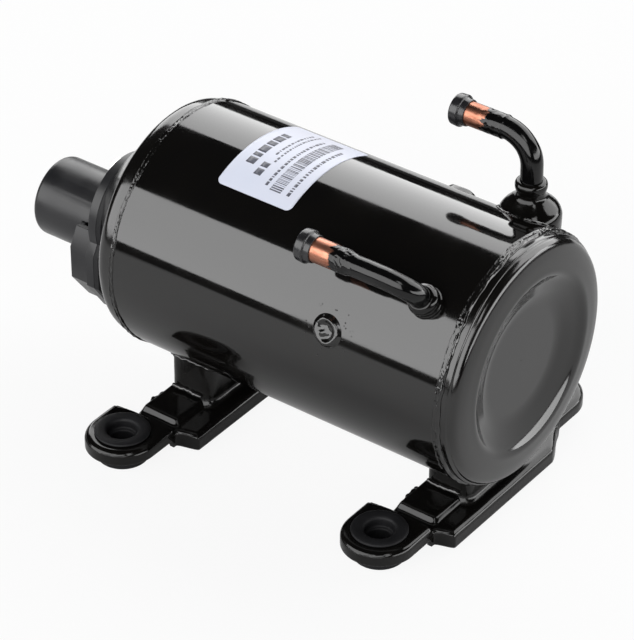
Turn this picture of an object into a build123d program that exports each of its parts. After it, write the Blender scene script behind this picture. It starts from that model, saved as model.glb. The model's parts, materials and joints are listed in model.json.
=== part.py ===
from build123d import *
import math
import os

os.makedirs("parts", exist_ok=True)

# Horizontal rolling-piston refrigeration compressor, millimetres.
# +X runs along the shell from the terminal end to the pump end, +Z is up. The origin lies on the
# floor, midway between the two front mounting bolts.

# ---- driving sizes: shell and feet -----------------------------------------------------------
SHELL_R = 51.0
SHELL_LENGTH = 155.0
SHELL_WALL = 3.0
SHELL_FRONT_X = 21.35
FOOT_SPAN = 117.4
FRONT_HALF_TRACK = 56.5
REAR_HALF_TRACK = 66.6
PLATE_SHEET = 3.0
PLATE_TOP_Z = 9.1
PLATE_SKIRT_Z = 2.1
LOBE_TOP_Z = 11.6
LOBE_SKIRT_Z = 5.8
LOBE_R = 15.0
LOBE_NECK = 13.5
LOBE_LAP = 1.5
PLATE_INSET = 16.0
PLATE_BACK = 6.0
FRONT_PLATE_REACH = 22.5
REAR_PLATE_REACH = 24.0
PLATE_TAPER = 12.0
BELLY_GAP = 8.2
SADDLE_INSET = 34.9
SADDLE_BACK = 4.0
SADDLE_REACH = 16.0
SADDLE_CORNER_R = 4.0
EAR_LENGTH = 14.0
EAR_WIDTH = 16.5
EAR_LAP = 2.0
GROMMET_TOP_Z = 13.1
GROMMET_HEAD_R = 11.1
GROMMET_BODY_R = 11.2
GROMMET_NECK_R = 8.0
GROMMET_BORE_R = 4.5
GROMMET_POCKET_R = 6.1
GROMMET_POCKET_DEPTH = 4.5
GROMMET_FOOT_CHAMFER = 1.5
GROMMET_HEAD_CHAMFER = 0.5

# ---- end caps and welds ----------------------------------------------------------------------
CAP_SHEET = 3.0
BEAD_HALF_WIDTH = 2.3
BEAD_HEIGHT = 1.1
FRONT_SHOULDER_X = 4.8
FRONT_SHOULDER_DROP = 4.0
FRONT_RIM_X = 7.8
FRONT_RIM_R = 35.8
FRONT_DISH_X = 4.2
FRONT_DISH_R = 31.0
FRONT_RIM_ARC_R = 9.0
FRONT_SHOULDER_THIN = (0.4, 1.8)
FRONT_RIM_THIN = 0.8
FRONT_DISH_THIN = 0.5
REAR_SHOULDER_X = 9.2
REAR_SHOULDER_DROP = 6.8
REAR_CONE_X = 24.2
REAR_PAD_X = 28.7
REAR_PAD_R = 22.0
REAR_CONE_DROP = 5.0
REAR_START_THIN = (2.0, 2.4)
REAR_END_THIN = (2.2, 2.0)
REAR_PAD_THIN = 1.5
PLUG_WELD_SETBACK = 52.6
PLUG_WELD_R = 4.0
PLUG_WELD_HEAD_R = 6.8
PLUG_WELD_ANGLES = (70.0, 190.0, 310.0)
PLUG_WELD_SINK = 1.0
PLUG_WELD_RISE = 0.9

# ---- pipes -----------------------------------------------------------------------------------
PUMP_SETBACK = 17.0
SUCTION_ANGLE = 39.7
SUCTION_TUBE_R = 4.76
SUCTION_TUBE_WALL = 0.8
SUCTION_TOP = 75.1
SUCTION_BEND_R = 15.0
SUCTION_RUN = 33.6
SUCTION_INNER_DEPTH = 6.0
INLET_SEAT = 4.0
INLET_LAP = 3.0
INLET_CROSS_H = 9.0
BOSS_R = 12.2
BOSS_RIM_H = 42.2
BOSS_CROWN_H = 47.5
SLEEVE_R = 6.2
SLEEVE_TOP_H = 56.5
SLEEVE_LIP_DEPTH = 3.2
SLEEVE_LIP_SWELL = 0.5
SLEEVE_LIP_DRAW = 0.3
BOSS_SHOULDER_SET = (2.4, 1.2)
BOSS_FOOT_MARGIN = 0.5
DISCHARGE_ANGLE = 42.6
DISCHARGE_TUBE_R = 4.2
DISCHARGE_STUB_R = 4.9
DISCHARGE_TUBE_WALL = 0.8
DISCHARGE_STANDOFF = 18.0
DISCHARGE_BEND_R = 12.0
DISCHARGE_RUN = 46.5
DISCHARGE_STUB = 18.5
DISCHARGE_TAPER = 4.0
DISCHARGE_INNER_DEPTH = 5.0
KNOB_R = 5.8
KNOB_HEIGHT = 6.0
KNOB_DRAW = 0.5
KNOB_SHOULDER_SHARE = 0.83
KNOB_FOOT_DEPTH = 1.0
CAP_GRIP = 4.2
CAP_WALL = 0.9
CAP_HEAD_WALL = 1.7
CAP_HEAD = 4.2
CAP_END = 1.5
CAP_CHAMFER = 0.6

# ---- label -----------------------------------------------------------------------------------
LABEL_X = -83.1
LABEL_WIDTH = 35.2
LABEL_HALF_ANGLE = 29.4
LABEL_THICK = 0.15

# ---- terminal cover and electrics ------------------------------------------------------------
GASKET_THICK = 2.5
COVER_FLANGE = 4.0
COVER_LENGTH = 39.5
COVER_WALL = 2.2
COVER_BARREL_R = 16.8
COVER_BARREL_DROP = 14.1
COVER_RING_R = 23.2
COVER_RING_DROP = 5.6
COVER_EDGE_R = 2.5
HOOD_DEPTH = 13.0
HOOD_HALF_WIDTH = 25.5
HOOD_TOP_DROP = 16.5
HOOD_SIDE_DROP = 31.0
HOOD_FOOT_DROP = 45.8
HOOD_FOOT_HALF = 15.5
HOOD_SET_IN = 1.2
HOOD_SHOULDER_RISE = 8.0
RING_SHOULDER_HALF = 21.0
OUTLET_WIDTH = 14.0
OUTLET_DEPTH = 6.0
HEADER_R = 10.0
HEADER_DROP = 11.3
HEADER_FLANGE = 1.6
PIN_R = 1.6
PIN_CIRCLE_R = 5.2
PIN_OUT = 10.0
PIN_IN = 9.0
CONNECTOR_R = 9.0
CONNECTOR_GAP = 2.0
CONNECTOR_LENGTH = 9.0
LEAD_R = 1.2
LEAD_STRAIGHT = 5.0
LEAD_BEND_R = 3.5
LEAD_ANGLES = (90.0, 225.0, 315.0)
LEAD_CIRCLE_R = 36.0
BEAD_GLASS_R = 2.4
PROTECTOR_R = 13.2
PROTECTOR_THICK = 12.0
PROTECTOR_GAP = 1.0
PROTECTOR_EDGE_R = 1.5
STUD_R = 2.5
STUD_RISE = 10.6
STUD_LENGTH = 11.5
STUD_CLEARANCE = 0.4
GASKET_HOLE_R = 9.4
SPRING_STRIP = 0.8
SPRING_SPREAD = 9.0
SPRING_FLAT = 4.0
SPRING_STRIP_WIDTH = 6.0
NUT_FLAT = 8.0
NUT_THICK = 3.2
WASHER_R = 5.0
WASHER_THICK = 0.9

# ---- motor -----------------------------------------------------------------------------------
MOTOR_FRONT_GAP = 2.0
MOTOR_REAR_GAP = 5.6
WINDING_OVERHANG = 17.0
WINDING_OUTER_GAP = 6.0
STATOR_BORE_R = 27.0
SLOT_COUNT = 24
SLOT_WIDTH = 4.0
SLOT_START = 2.0
SLOT_DEPTH = 12.0
SLOT_CLEARANCE = 0.2
AIR_GAP = 0.5
ROTOR_RING_R = 25.0
ROTOR_RING_BORE_R = 17.0
ROTOR_RING_THICK = 5.0
BALANCE_THICK = 5.0
WINDING_END_GAP = 1.0
WINDING_INNER_GAP = 1.5

# ---- pump ------------------------------------------------------------------------------------
CYLINDER_HEIGHT = 16.0
CYLINDER_BORE_R = 20.0
ECCENTRICITY = 4.0
ROLLER_GAP = 0.03
RUNNING_FIT = 0.03
FACE_GAP = 0.05
SHAFT_R = 8.0
CRANKPIN_OVER_SHAFT = 0.5
GAS_GAP = 6.0
FRAME_PLATE = 8.0
FRAME_SKIRT = 25.4
FRAME_SKIRT_WALL = 4.5
HUB_R = 12.5
HUB_LENGTH = 32.0
GAS_HOLE_R = 2.6
GAS_HOLE_COUNT = 3
GAS_HOLE_START = 30.0
GAS_HOLE_GAP = 1.0
SUB_PLATE = 5.0
SUB_R = 32.0
SUB_HUB = 3.0
SHAFT_TAIL = 4.0
VANE_THICK = 3.2
VANE_LENGTH = 12.0
VANE_TIP_R = 3.0
VANE_TIP_GAP = 0.05
VANE_SLOT_OVER = 2.0
VANE_TRAVEL = 6.7
SPRING_SEAT_CROWN = 0.2
SPRING_R = 2.6
SPRING_BORE_R = 1.9
SPRING_HOLE_R = 3.0
SPRING_SEAT_THICK = 1.0
CRANK_REST_ANGLE = 135.0
PORT_R = 2.0
PORT_Y = 4.0
PORT_DROP = 17.5
REED_LENGTH = 20.5
REED_WIDTH = 7.0
REED_THICK = 0.5
REED_CLAMP_GAP = 0.4
REED_ROUND_GAP = 0.1
STOP_BLOCK = 5.1
STOP_ANGLE = 8.0
STOP_THICK = 1.4
STOP_SHORT = 2.0
STOP_CLEARANCE = 0.3
RIVET_R = 1.5
RIVET_HEAD_WIDER = 0.8
RIVET_HEAD = 1.0
MUFFLER_R = 36.5
MUFFLER_WALL = 1.2
MUFFLER_DEPTH = 10.0
MUFFLER_HUB_GAP = 0.3
MUFFLER_HOLE_R = 3.0
BOLT_R = 2.5
BOLT_CIRCLE_R = 27.0
BOLT_HEAD_R = 4.2
BOLT_HEAD = 3.5
BOLT_ENGAGE = 6.0
BOLT_ANGLES = (-120.0, -60.0, 0.0, 60.0, 120.0, 180.0)
OIL_TUBE_R = 1.9
OIL_TUBE_DROP = 44.0
OIL_TUBE_WALL = 0.6

# ---- derived positions -----------------------------------------------------------------------
AXIS_Z = PLATE_TOP_Z + BELLY_GAP + SHELL_R
SHELL_REAR_X = SHELL_FRONT_X - SHELL_LENGTH
SHELL_BORE_R = SHELL_R - SHELL_WALL
PUMP_X = SHELL_FRONT_X - PUMP_SETBACK
PUMP_REAR_X = PUMP_X - CYLINDER_HEIGHT / 2
PUMP_FRONT_X = PUMP_X + CYLINDER_HEIGHT / 2
FRAME_REAR_X = PUMP_REAR_X - FRAME_PLATE
SKIRT_REAR_X = FRAME_REAR_X - FRAME_SKIRT
HUB_REAR_X = FRAME_REAR_X - HUB_LENGTH
SUB_FRONT_X = PUMP_FRONT_X + SUB_PLATE
PLUG_WELD_X = SHELL_FRONT_X - PLUG_WELD_SETBACK
MOTOR_FRONT_X = SKIRT_REAR_X - MOTOR_FRONT_GAP
MOTOR_REAR_X = SHELL_REAR_X + MOTOR_REAR_GAP
STACK_FRONT_X = MOTOR_FRONT_X - WINDING_OVERHANG
STACK_REAR_X = MOTOR_REAR_X + WINDING_OVERHANG
STACK_LENGTH = STACK_FRONT_X - STACK_REAR_X
ROTOR_R = STATOR_BORE_R - AIR_GAP
BLOCK_R = SHELL_BORE_R - GAS_GAP
ROLLER_R = CYLINDER_BORE_R - ECCENTRICITY - ROLLER_GAP
CRANKPIN_R = SHAFT_R + ECCENTRICITY + CRANKPIN_OVER_SHAFT
SUCTION_Y = SHELL_R * math.sin(math.radians(SUCTION_ANGLE))
PAD_X = SHELL_REAR_X - REAR_PAD_X
COVER_X = PAD_X - GASKET_THICK
CRANK_TURN = math.radians(CRANK_REST_ANGLE - 90)
CRANKPIN_Y = ECCENTRICITY * math.cos(CRANK_TURN)
CRANKPIN_Z = AXIS_Z + ECCENTRICITY * math.sin(CRANK_TURN)
shell_axis = Axis((0, 0, AXIS_Z), (1, 0, 0))
# Local x is the distance along the shell, local y the height above the shell axis.
axial = Plane(origin=(0, 0, AXIS_Z), x_dir=(1, 0, 0), z_dir=(0, -1, 0))


def across(x, y=0.0, z=AXIS_Z):
    """A plane square to the shell axis at x: local x is +Y, local y is +Z."""
    return Plane(origin=(x, y, z), x_dir=(0, 1, 0), z_dir=(1, 0, 0))


def radial(x, angle, height):
    """A plane square to a radius of the shell, angle degrees from +Z toward -Y."""
    tilt = math.radians(angle)
    outward = (0, -math.sin(tilt), math.cos(tilt))
    origin = (x, height * outward[1], AXIS_Z + height * outward[2])
    return Plane(origin=origin, x_dir=(1, 0, 0), z_dir=outward)


def save(builder, name):
    """Label one finished piece and write it as its own STEP file."""
    builder.part.label = name
    export_step(builder.part, f"parts/{name}.step")


suction_plane = Plane(origin=(PUMP_X, SUCTION_Y, AXIS_Z), x_dir=(1, 0, 0), z_dir=(0, 0, 1))
discharge_plane = radial(PUMP_X, DISCHARGE_ANGLE, 0)

# Rolled and welded steel tube, bored for the two pipes and the plug welds.
with BuildPart() as main_shell:
    with BuildSketch(across(SHELL_REAR_X)):
        Circle(SHELL_R)
        Circle(SHELL_BORE_R, mode=Mode.SUBTRACT)
    extrude(amount=SHELL_LENGTH)
    with BuildSketch(suction_plane):
        Circle(SUCTION_TUBE_R)
    extrude(amount=SHELL_R, mode=Mode.SUBTRACT)
    with BuildSketch(discharge_plane):
        Circle(DISCHARGE_TUBE_R)
    extrude(amount=SHELL_R + SHELL_WALL, mode=Mode.SUBTRACT)
    for weld_angle in PLUG_WELD_ANGLES:
        with BuildSketch(radial(PLUG_WELD_X, weld_angle, 0)):
            Circle(PLUG_WELD_R)
        extrude(amount=SHELL_R + SHELL_WALL, mode=Mode.SUBTRACT)
save(main_shell, "main_shell")

# Pressed pump-end cap: shoulder, broad face, sharp rim and a recessed dish.
with BuildPart() as front_end_cap:
    with BuildSketch(axial):
        with BuildLine():
            shoulder = (SHELL_FRONT_X + FRONT_SHOULDER_X, SHELL_R - FRONT_SHOULDER_DROP)
            rim = (SHELL_FRONT_X + FRONT_RIM_X, FRONT_RIM_R)
            dish = (SHELL_FRONT_X + FRONT_DISH_X, FRONT_DISH_R)
            inner_shoulder = (
                shoulder[0] - CAP_SHEET + FRONT_SHOULDER_THIN[0],
                shoulder[1] - FRONT_SHOULDER_THIN[1],
            )
            inner_rim = (rim[0] - CAP_SHEET, rim[1] - FRONT_RIM_THIN)
            inner_dish = (dish[0] - CAP_SHEET, dish[1] - FRONT_DISH_THIN)
            Line((SHELL_FRONT_X, SHELL_BORE_R), (SHELL_FRONT_X, SHELL_R))
            TangentArc((SHELL_FRONT_X, SHELL_R), shoulder, tangent=(1, 0))
            Line(shoulder, rim)
            RadiusArc(rim, dish, -FRONT_RIM_ARC_R)
            Line(dish, (dish[0], 0))
            Line((dish[0], 0), (inner_dish[0], 0))
            Line((inner_dish[0], 0), inner_dish)
            Line(inner_dish, inner_rim)
            Line(inner_rim, inner_shoulder)
            Line(inner_shoulder, (SHELL_FRONT_X, SHELL_BORE_R))
        make_face()
    revolve(axis=shell_axis)
save(front_end_cap, "front_end_cap")

# Pressed terminal-end cap: rounded shoulder, cone and a flat pad that carries the terminal.
with BuildPart() as rear_end_cap:
    with BuildSketch(axial):
        with BuildLine():
            cone_start = (SHELL_REAR_X - REAR_SHOULDER_X, SHELL_R - REAR_SHOULDER_DROP)
            cone_end = (SHELL_REAR_X - REAR_CONE_X, REAR_PAD_R + REAR_CONE_DROP)
            inner_start = (cone_start[0] + REAR_START_THIN[0], cone_start[1] - REAR_START_THIN[1])
            inner_end = (cone_end[0] + REAR_END_THIN[0], cone_end[1] - REAR_END_THIN[1])
            inner_pad = (PAD_X + CAP_SHEET, REAR_PAD_R - REAR_PAD_THIN)
            Line((SHELL_REAR_X, SHELL_BORE_R), (SHELL_REAR_X, SHELL_R))
            TangentArc((SHELL_REAR_X, SHELL_R), cone_start, tangent=(-1, 0))
            Line(cone_start, cone_end)
            Line(cone_end, (PAD_X, REAR_PAD_R))
            Line((PAD_X, REAR_PAD_R), (PAD_X, 0))
            Line((PAD_X, 0), (PAD_X + CAP_SHEET, 0))
            Line((PAD_X + CAP_SHEET, 0), inner_pad)
            Line(inner_pad, inner_end)
            Line(inner_end, inner_start)
            Line(inner_start, (SHELL_REAR_X, SHELL_BORE_R))
        make_face()
    revolve(axis=shell_axis)
    with BuildSketch(across(PAD_X, z=AXIS_Z - HEADER_DROP)):
        Circle(HEADER_R)
    extrude(amount=REAR_PAD_X, mode=Mode.SUBTRACT)
save(rear_end_cap, "rear_end_cap")

# Circumferential weld beads over the two cap joints.
for bead_name, bead_x in (("front_weld_bead", SHELL_FRONT_X), ("rear_weld_bead", SHELL_REAR_X)):
    with BuildPart() as weld_bead:
        with BuildSketch(axial):
            with BuildLine():
                start = (bead_x - BEAD_HALF_WIDTH, SHELL_R)
                end = (bead_x + BEAD_HALF_WIDTH, SHELL_R)
                ThreePointArc(start, (bead_x, SHELL_R + BEAD_HEIGHT), end)
                Line(end, start)
            make_face()
        revolve(axis=shell_axis)
    save(weld_bead, bead_name)

# Plug welds that hold the pump frame: a nugget through the wall with a broad low head.
with BuildPart() as plug_welds:
    for weld_angle in PLUG_WELD_ANGLES:
        with BuildSketch(radial(PLUG_WELD_X, weld_angle, SHELL_R - PLUG_WELD_SINK)):
            Circle(PLUG_WELD_HEAD_R)
        extrude(amount=PLUG_WELD_SINK + PLUG_WELD_RISE)
    with BuildSketch(across(PLUG_WELD_X - 2 * PLUG_WELD_HEAD_R)):
        Circle(SHELL_R + FACE_GAP)
    extrude(amount=4 * PLUG_WELD_HEAD_R, mode=Mode.SUBTRACT)
    for weld_angle in PLUG_WELD_ANGLES:
        with BuildSketch(radial(PLUG_WELD_X, weld_angle, SHELL_BORE_R + FACE_GAP)):
            Circle(PLUG_WELD_R)
        extrude(amount=SHELL_WALL - FACE_GAP + PLUG_WELD_RISE)
save(plug_welds, "plug_welds")


def plate_corners(x, half_track, reach, inset):
    """Corners of the foot's wide middle, with a tongue to each lobe, drawn in by inset."""
    front = x + reach - inset
    back = x - PLATE_BACK + inset
    lobe_side = x + LOBE_R - inset
    tongue = half_track - LOBE_NECK - inset + LOBE_LAP
    shoulder = half_track - PLATE_INSET - inset
    return (
        (back, -tongue),
        (lobe_side, -tongue),
        (lobe_side, -shoulder),
        (front, -shoulder),
        (front, shoulder - PLATE_TAPER),
        (lobe_side, tongue),
        (back, tongue),
    )


def foot(name, x, half_track, reach):
    """Press one foot plate with its two lobes, and the boxed saddle that carries the shell."""
    with BuildPart() as plate:
        with BuildSketch(Plane.XY.offset(PLATE_SKIRT_Z)):
            with BuildLine():
                Polyline(*plate_corners(x, half_track, reach, 0), close=True)
            make_face()
        extrude(amount=PLATE_TOP_Z - PLATE_SKIRT_Z)
        with BuildSketch(Plane.XY.offset(LOBE_SKIRT_Z)):
            for side in (-1, 1):
                with Locations((x, side * half_track)):
                    Circle(LOBE_R)
                with Locations((x, side * (half_track - LOBE_NECK / 2))):
                    Rectangle(2 * LOBE_R, LOBE_NECK)
        extrude(amount=LOBE_TOP_Z - LOBE_SKIRT_Z)
        with BuildSketch(Plane.XY):
            with BuildLine():
                Polyline(*plate_corners(x, half_track, reach, PLATE_SHEET), close=True)
            make_face()
        extrude(amount=PLATE_TOP_Z - PLATE_SHEET, mode=Mode.SUBTRACT)
        with BuildSketch(Plane.XY):
            for side in (-1, 1):
                with Locations((x, side * half_track)):
                    Circle(LOBE_R - PLATE_SHEET)
                with Locations((x, side * (half_track - (LOBE_NECK - PLATE_SHEET) / 2))):
                    Rectangle(2 * (LOBE_R - PLATE_SHEET), LOBE_NECK - PLATE_SHEET)
        extrude(amount=LOBE_TOP_Z - PLATE_SHEET, mode=Mode.SUBTRACT)
        with BuildSketch(Plane.XY):
            with Locations((x, -half_track), (x, half_track)):
                Circle(GROMMET_NECK_R)
        extrude(amount=LOBE_TOP_Z, mode=Mode.SUBTRACT)
    save(plate, f"{name}_foot_plate")
    with BuildPart() as saddle:
        wall_y = half_track - SADDLE_INSET
        saddle_width = SADDLE_BACK + SADDLE_REACH
        centre_x = x + (SADDLE_REACH - SADDLE_BACK) / 2
        with BuildSketch(Plane.XY.offset(PLATE_TOP_Z)):
            with Locations((centre_x, 0)):
                RectangleRounded(saddle_width, 2 * wall_y, SADDLE_CORNER_R)
                RectangleRounded(
                    saddle_width - 2 * PLATE_SHEET,
                    2 * (wall_y - PLATE_SHEET),
                    SADDLE_CORNER_R - PLATE_SHEET,
                    mode=Mode.SUBTRACT,
                )
        extrude(amount=AXIS_Z - PLATE_TOP_Z)
        with BuildSketch(Plane.XY.offset(PLATE_TOP_Z)):
            ear_x = x - SADDLE_BACK + EAR_WIDTH / 2
            ear_y = wall_y + (EAR_LENGTH - EAR_LAP) / 2
            with Locations((ear_x, -ear_y), (ear_x, ear_y)):
                Rectangle(EAR_WIDTH, EAR_LENGTH + EAR_LAP)
        extrude(amount=PLATE_SHEET)
        with BuildSketch(across(x - 2 * SADDLE_BACK)):
            Circle(SHELL_R)
        extrude(amount=saddle_width + 2 * SADDLE_BACK, mode=Mode.SUBTRACT)
    save(saddle, f"{name}_foot_saddle")


foot("front", 0.0, FRONT_HALF_TRACK, FRONT_PLATE_REACH)
foot("rear", -FOOT_SPAN, REAR_HALF_TRACK, REAR_PLATE_REACH)

# Moulded rubber grommets: a head above the lobe, a body below it and a stepped bore.
grommet_places = (
    ("front_left", 0.0, -FRONT_HALF_TRACK),
    ("front_right", 0.0, FRONT_HALF_TRACK),
    ("rear_left", -FOOT_SPAN, -REAR_HALF_TRACK),
    ("rear_right", -FOOT_SPAN, REAR_HALF_TRACK),
)
lobe_underside = LOBE_TOP_Z - PLATE_SHEET
for place, grommet_x, grommet_y in grommet_places:
    with BuildPart() as grommet:
        section = Plane(origin=(grommet_x, grommet_y, 0), x_dir=(1, 0, 0), z_dir=(0, -1, 0))
        with BuildSketch(section):
            with BuildLine():
                Polyline(
                    (GROMMET_BORE_R, 0),
                    (GROMMET_BODY_R - GROMMET_FOOT_CHAMFER, 0),
                    (GROMMET_BODY_R, GROMMET_FOOT_CHAMFER),
                    (GROMMET_BODY_R, lobe_underside),
                    (GROMMET_NECK_R, lobe_underside),
                    (GROMMET_NECK_R, LOBE_TOP_Z),
                    (GROMMET_HEAD_R, LOBE_TOP_Z),
                    (GROMMET_HEAD_R, GROMMET_TOP_Z - GROMMET_HEAD_CHAMFER),
                    (GROMMET_HEAD_R - GROMMET_HEAD_CHAMFER, GROMMET_TOP_Z),
                    (GROMMET_POCKET_R, GROMMET_TOP_Z),
                    (GROMMET_POCKET_R, GROMMET_TOP_Z - GROMMET_POCKET_DEPTH),
                    (GROMMET_BORE_R, GROMMET_TOP_Z - GROMMET_POCKET_DEPTH),
                    close=True,
                )
            make_face()
        revolve(axis=Axis((grommet_x, grommet_y, 0), (0, 0, 1)))
    save(grommet, f"grommet_{place}")

# Bell-shaped suction boss with its sleeve, seated on the shell.
upright = Plane(origin=(PUMP_X, SUCTION_Y, AXIS_Z), x_dir=(1, 0, 0), z_dir=(0, -1, 0))
suction_axis = Axis((PUMP_X, SUCTION_Y, 0), (0, 0, 1))
BOSS_FOOT_H = math.sqrt(SHELL_R**2 - min(SHELL_R - BOSS_FOOT_MARGIN, SUCTION_Y + BOSS_R) ** 2)
with BuildPart() as suction_boss:
    with BuildSketch(upright):
        with BuildLine():
            Line((SUCTION_TUBE_R, BOSS_FOOT_H), (BOSS_R, BOSS_FOOT_H))
            Line((BOSS_R, BOSS_FOOT_H), (BOSS_R, BOSS_RIM_H))
            ThreePointArc(
                (BOSS_R, BOSS_RIM_H),
                (BOSS_R - BOSS_SHOULDER_SET[0], (BOSS_RIM_H + BOSS_CROWN_H) / 2 + BOSS_SHOULDER_SET[1]),
                (SLEEVE_R, BOSS_CROWN_H),
            )
            lip_foot = (SLEEVE_R, SLEEVE_TOP_H - SLEEVE_LIP_DEPTH)
            lip_middle = (SLEEVE_R + SLEEVE_LIP_SWELL, SLEEVE_TOP_H - SLEEVE_LIP_DEPTH / 2)
            lip_top = (SLEEVE_R - SLEEVE_LIP_DRAW, SLEEVE_TOP_H)
            Line((SLEEVE_R, BOSS_CROWN_H), lip_foot)
            ThreePointArc(lip_foot, lip_middle, lip_top)
            Line(lip_top, (SUCTION_TUBE_R, SLEEVE_TOP_H))
            Line((SUCTION_TUBE_R, SLEEVE_TOP_H), (SUCTION_TUBE_R, BOSS_FOOT_H))
        make_face()
    revolve(axis=suction_axis)
    with BuildSketch(across(PUMP_X - 2 * BOSS_R)):
        Circle(SHELL_R)
    extrude(amount=4 * BOSS_R, mode=Mode.SUBTRACT)
save(suction_boss, "suction_boss")


# Suction tube: up through the boss, round one bend, then level toward the terminal end.
SUCTION_ENTRY_H = math.sqrt(SHELL_R**2 - SUCTION_Y**2) - SUCTION_INNER_DEPTH
with BuildPart() as suction_pipe:
    with BuildLine(upright) as suction_path:
        Line((0, SUCTION_ENTRY_H), (0, SUCTION_TOP - SUCTION_BEND_R))
        CenterArc((-SUCTION_BEND_R, SUCTION_TOP - SUCTION_BEND_R), SUCTION_BEND_R, 0, 90)
        Line((-SUCTION_BEND_R, SUCTION_TOP), (-SUCTION_RUN, SUCTION_TOP))
    with BuildSketch(Plane(origin=suction_path.wire() @ 0, z_dir=suction_path.wire() % 0)):
        Circle(SUCTION_TUBE_R)
        Circle(SUCTION_TUBE_R - SUCTION_TUBE_WALL, mode=Mode.SUBTRACT)
    sweep()
save(suction_pipe, "suction_pipe")

# Discharge knob: a rounded boss brazed on the shell, square to it.
discharge_upright = Plane(
    origin=discharge_plane.origin, x_dir=(1, 0, 0), z_dir=discharge_plane.z_dir.cross(Vector(-1, 0, 0))
)
discharge_axis = Axis(discharge_plane.origin, discharge_plane.z_dir)
with BuildPart() as discharge_knob:
    with BuildSketch(discharge_upright):
        with BuildLine():
            knob_top = SHELL_R + KNOB_HEIGHT
            knob_foot = SHELL_R - KNOB_FOOT_DEPTH
            Line((DISCHARGE_TUBE_R, knob_foot), (KNOB_R, knob_foot))
            Line((KNOB_R, knob_foot), (KNOB_R, SHELL_R + KNOB_HEIGHT / 2))
            ThreePointArc(
                (KNOB_R, SHELL_R + KNOB_HEIGHT / 2),
                (KNOB_R - KNOB_DRAW, SHELL_R + KNOB_HEIGHT * KNOB_SHOULDER_SHARE),
                (DISCHARGE_TUBE_R, knob_top),
            )
            Line((DISCHARGE_TUBE_R, knob_top), (DISCHARGE_TUBE_R, knob_foot))
        make_face()
    revolve(axis=discharge_axis)
    with BuildSketch(across(PUMP_X - 2 * KNOB_R)):
        Circle(SHELL_R)
    extrude(amount=4 * KNOB_R, mode=Mode.SUBTRACT)
save(discharge_knob, "discharge_knob")

# Discharge tube: square out of the shell, then one bend.
DISCHARGE_TOP = SHELL_R + DISCHARGE_STANDOFF
stub_start = DISCHARGE_RUN - DISCHARGE_STUB
with BuildPart() as discharge_pipe:
    with BuildLine(discharge_upright) as discharge_path:
        Line((0, SHELL_BORE_R - DISCHARGE_INNER_DEPTH), (0, DISCHARGE_TOP - DISCHARGE_BEND_R))
        CenterArc((-DISCHARGE_BEND_R, DISCHARGE_TOP - DISCHARGE_BEND_R), DISCHARGE_BEND_R, 0, 90)
        Line((-DISCHARGE_BEND_R, DISCHARGE_TOP), (-(stub_start - DISCHARGE_TAPER), DISCHARGE_TOP))
    with BuildSketch(Plane(origin=discharge_path.wire() @ 0, z_dir=discharge_path.wire() % 0)):
        Circle(DISCHARGE_TUBE_R)
        Circle(DISCHARGE_TUBE_R - DISCHARGE_TUBE_WALL, mode=Mode.SUBTRACT)
    sweep()
save(discharge_pipe, "discharge_pipe")

# Discharge socket: a taper and a wider bare stub, brazed on the end of the tube.
with BuildPart() as discharge_socket:
    with BuildSketch(discharge_upright):
        with BuildLine():
            Polyline(
                (-(stub_start - DISCHARGE_TAPER), DISCHARGE_TOP + DISCHARGE_TUBE_R - DISCHARGE_TUBE_WALL),
                (-(stub_start - DISCHARGE_TAPER), DISCHARGE_TOP + DISCHARGE_TUBE_R),
                (-stub_start, DISCHARGE_TOP + DISCHARGE_STUB_R),
                (-DISCHARGE_RUN, DISCHARGE_TOP + DISCHARGE_STUB_R),
                (-DISCHARGE_RUN, DISCHARGE_TOP + DISCHARGE_STUB_R - DISCHARGE_TUBE_WALL),
                (-stub_start, DISCHARGE_TOP + DISCHARGE_STUB_R - DISCHARGE_TUBE_WALL),
                close=True,
            )
        make_face()
    stub_origin = discharge_upright.from_local_coords((0, DISCHARGE_TOP))
    revolve(axis=Axis(stub_origin, (1, 0, 0)))
save(discharge_socket, "discharge_socket")


def pipe_cap(name, mouth, tube_r):
    """Mould a rubber cap that pushes over a stub whose end face is centred at mouth."""
    bore_r = tube_r + RUNNING_FIT
    collar_r = bore_r + CAP_WALL
    head_r = bore_r + CAP_HEAD_WALL
    with BuildPart() as cap:
        with BuildSketch(Plane(origin=mouth, x_dir=(1, 0, 0), z_dir=(0, -1, 0))):
            with BuildLine():
                Polyline(
                    (CAP_GRIP, bore_r),
                    (CAP_GRIP, collar_r),
                    (CAP_HEAD - CAP_END, collar_r),
                    (CAP_HEAD - CAP_END, head_r - CAP_CHAMFER),
                    (CAP_HEAD - CAP_END - CAP_CHAMFER, head_r),
                    (CAP_CHAMFER - CAP_END, head_r),
                    (-CAP_END, head_r - CAP_CHAMFER),
                    (-CAP_END, 0),
                    (-FACE_GAP, 0),
                    (-FACE_GAP, bore_r),
                    close=True,
                )
            make_face()
        revolve(axis=Axis(mouth, (1, 0, 0)))
    save(cap, name)


suction_mouth = (PUMP_X - SUCTION_RUN, SUCTION_Y, AXIS_Z + SUCTION_TOP)
discharge_mouth = tuple(discharge_upright.from_local_coords((-DISCHARGE_RUN, DISCHARGE_TOP)))
pipe_cap("suction_cap", suction_mouth, SUCTION_TUBE_R)
pipe_cap("discharge_cap", discharge_mouth, DISCHARGE_STUB_R)

# Inlet tube that carries the suction gas on from the shell wall into the cylinder block.
with BuildPart() as suction_inlet_tube:
    block_top = math.sqrt(BLOCK_R**2 - SUCTION_Y**2)
    with BuildSketch(suction_plane.offset(block_top - INLET_SEAT)):
        Circle(SUCTION_TUBE_R - SUCTION_TUBE_WALL)
        Circle(SUCTION_TUBE_R - 2 * SUCTION_TUBE_WALL, mode=Mode.SUBTRACT)
    extrude(amount=SUCTION_ENTRY_H + INLET_LAP - block_top + INLET_SEAT)
save(suction_inlet_tube, "suction_inlet_tube")

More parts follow.
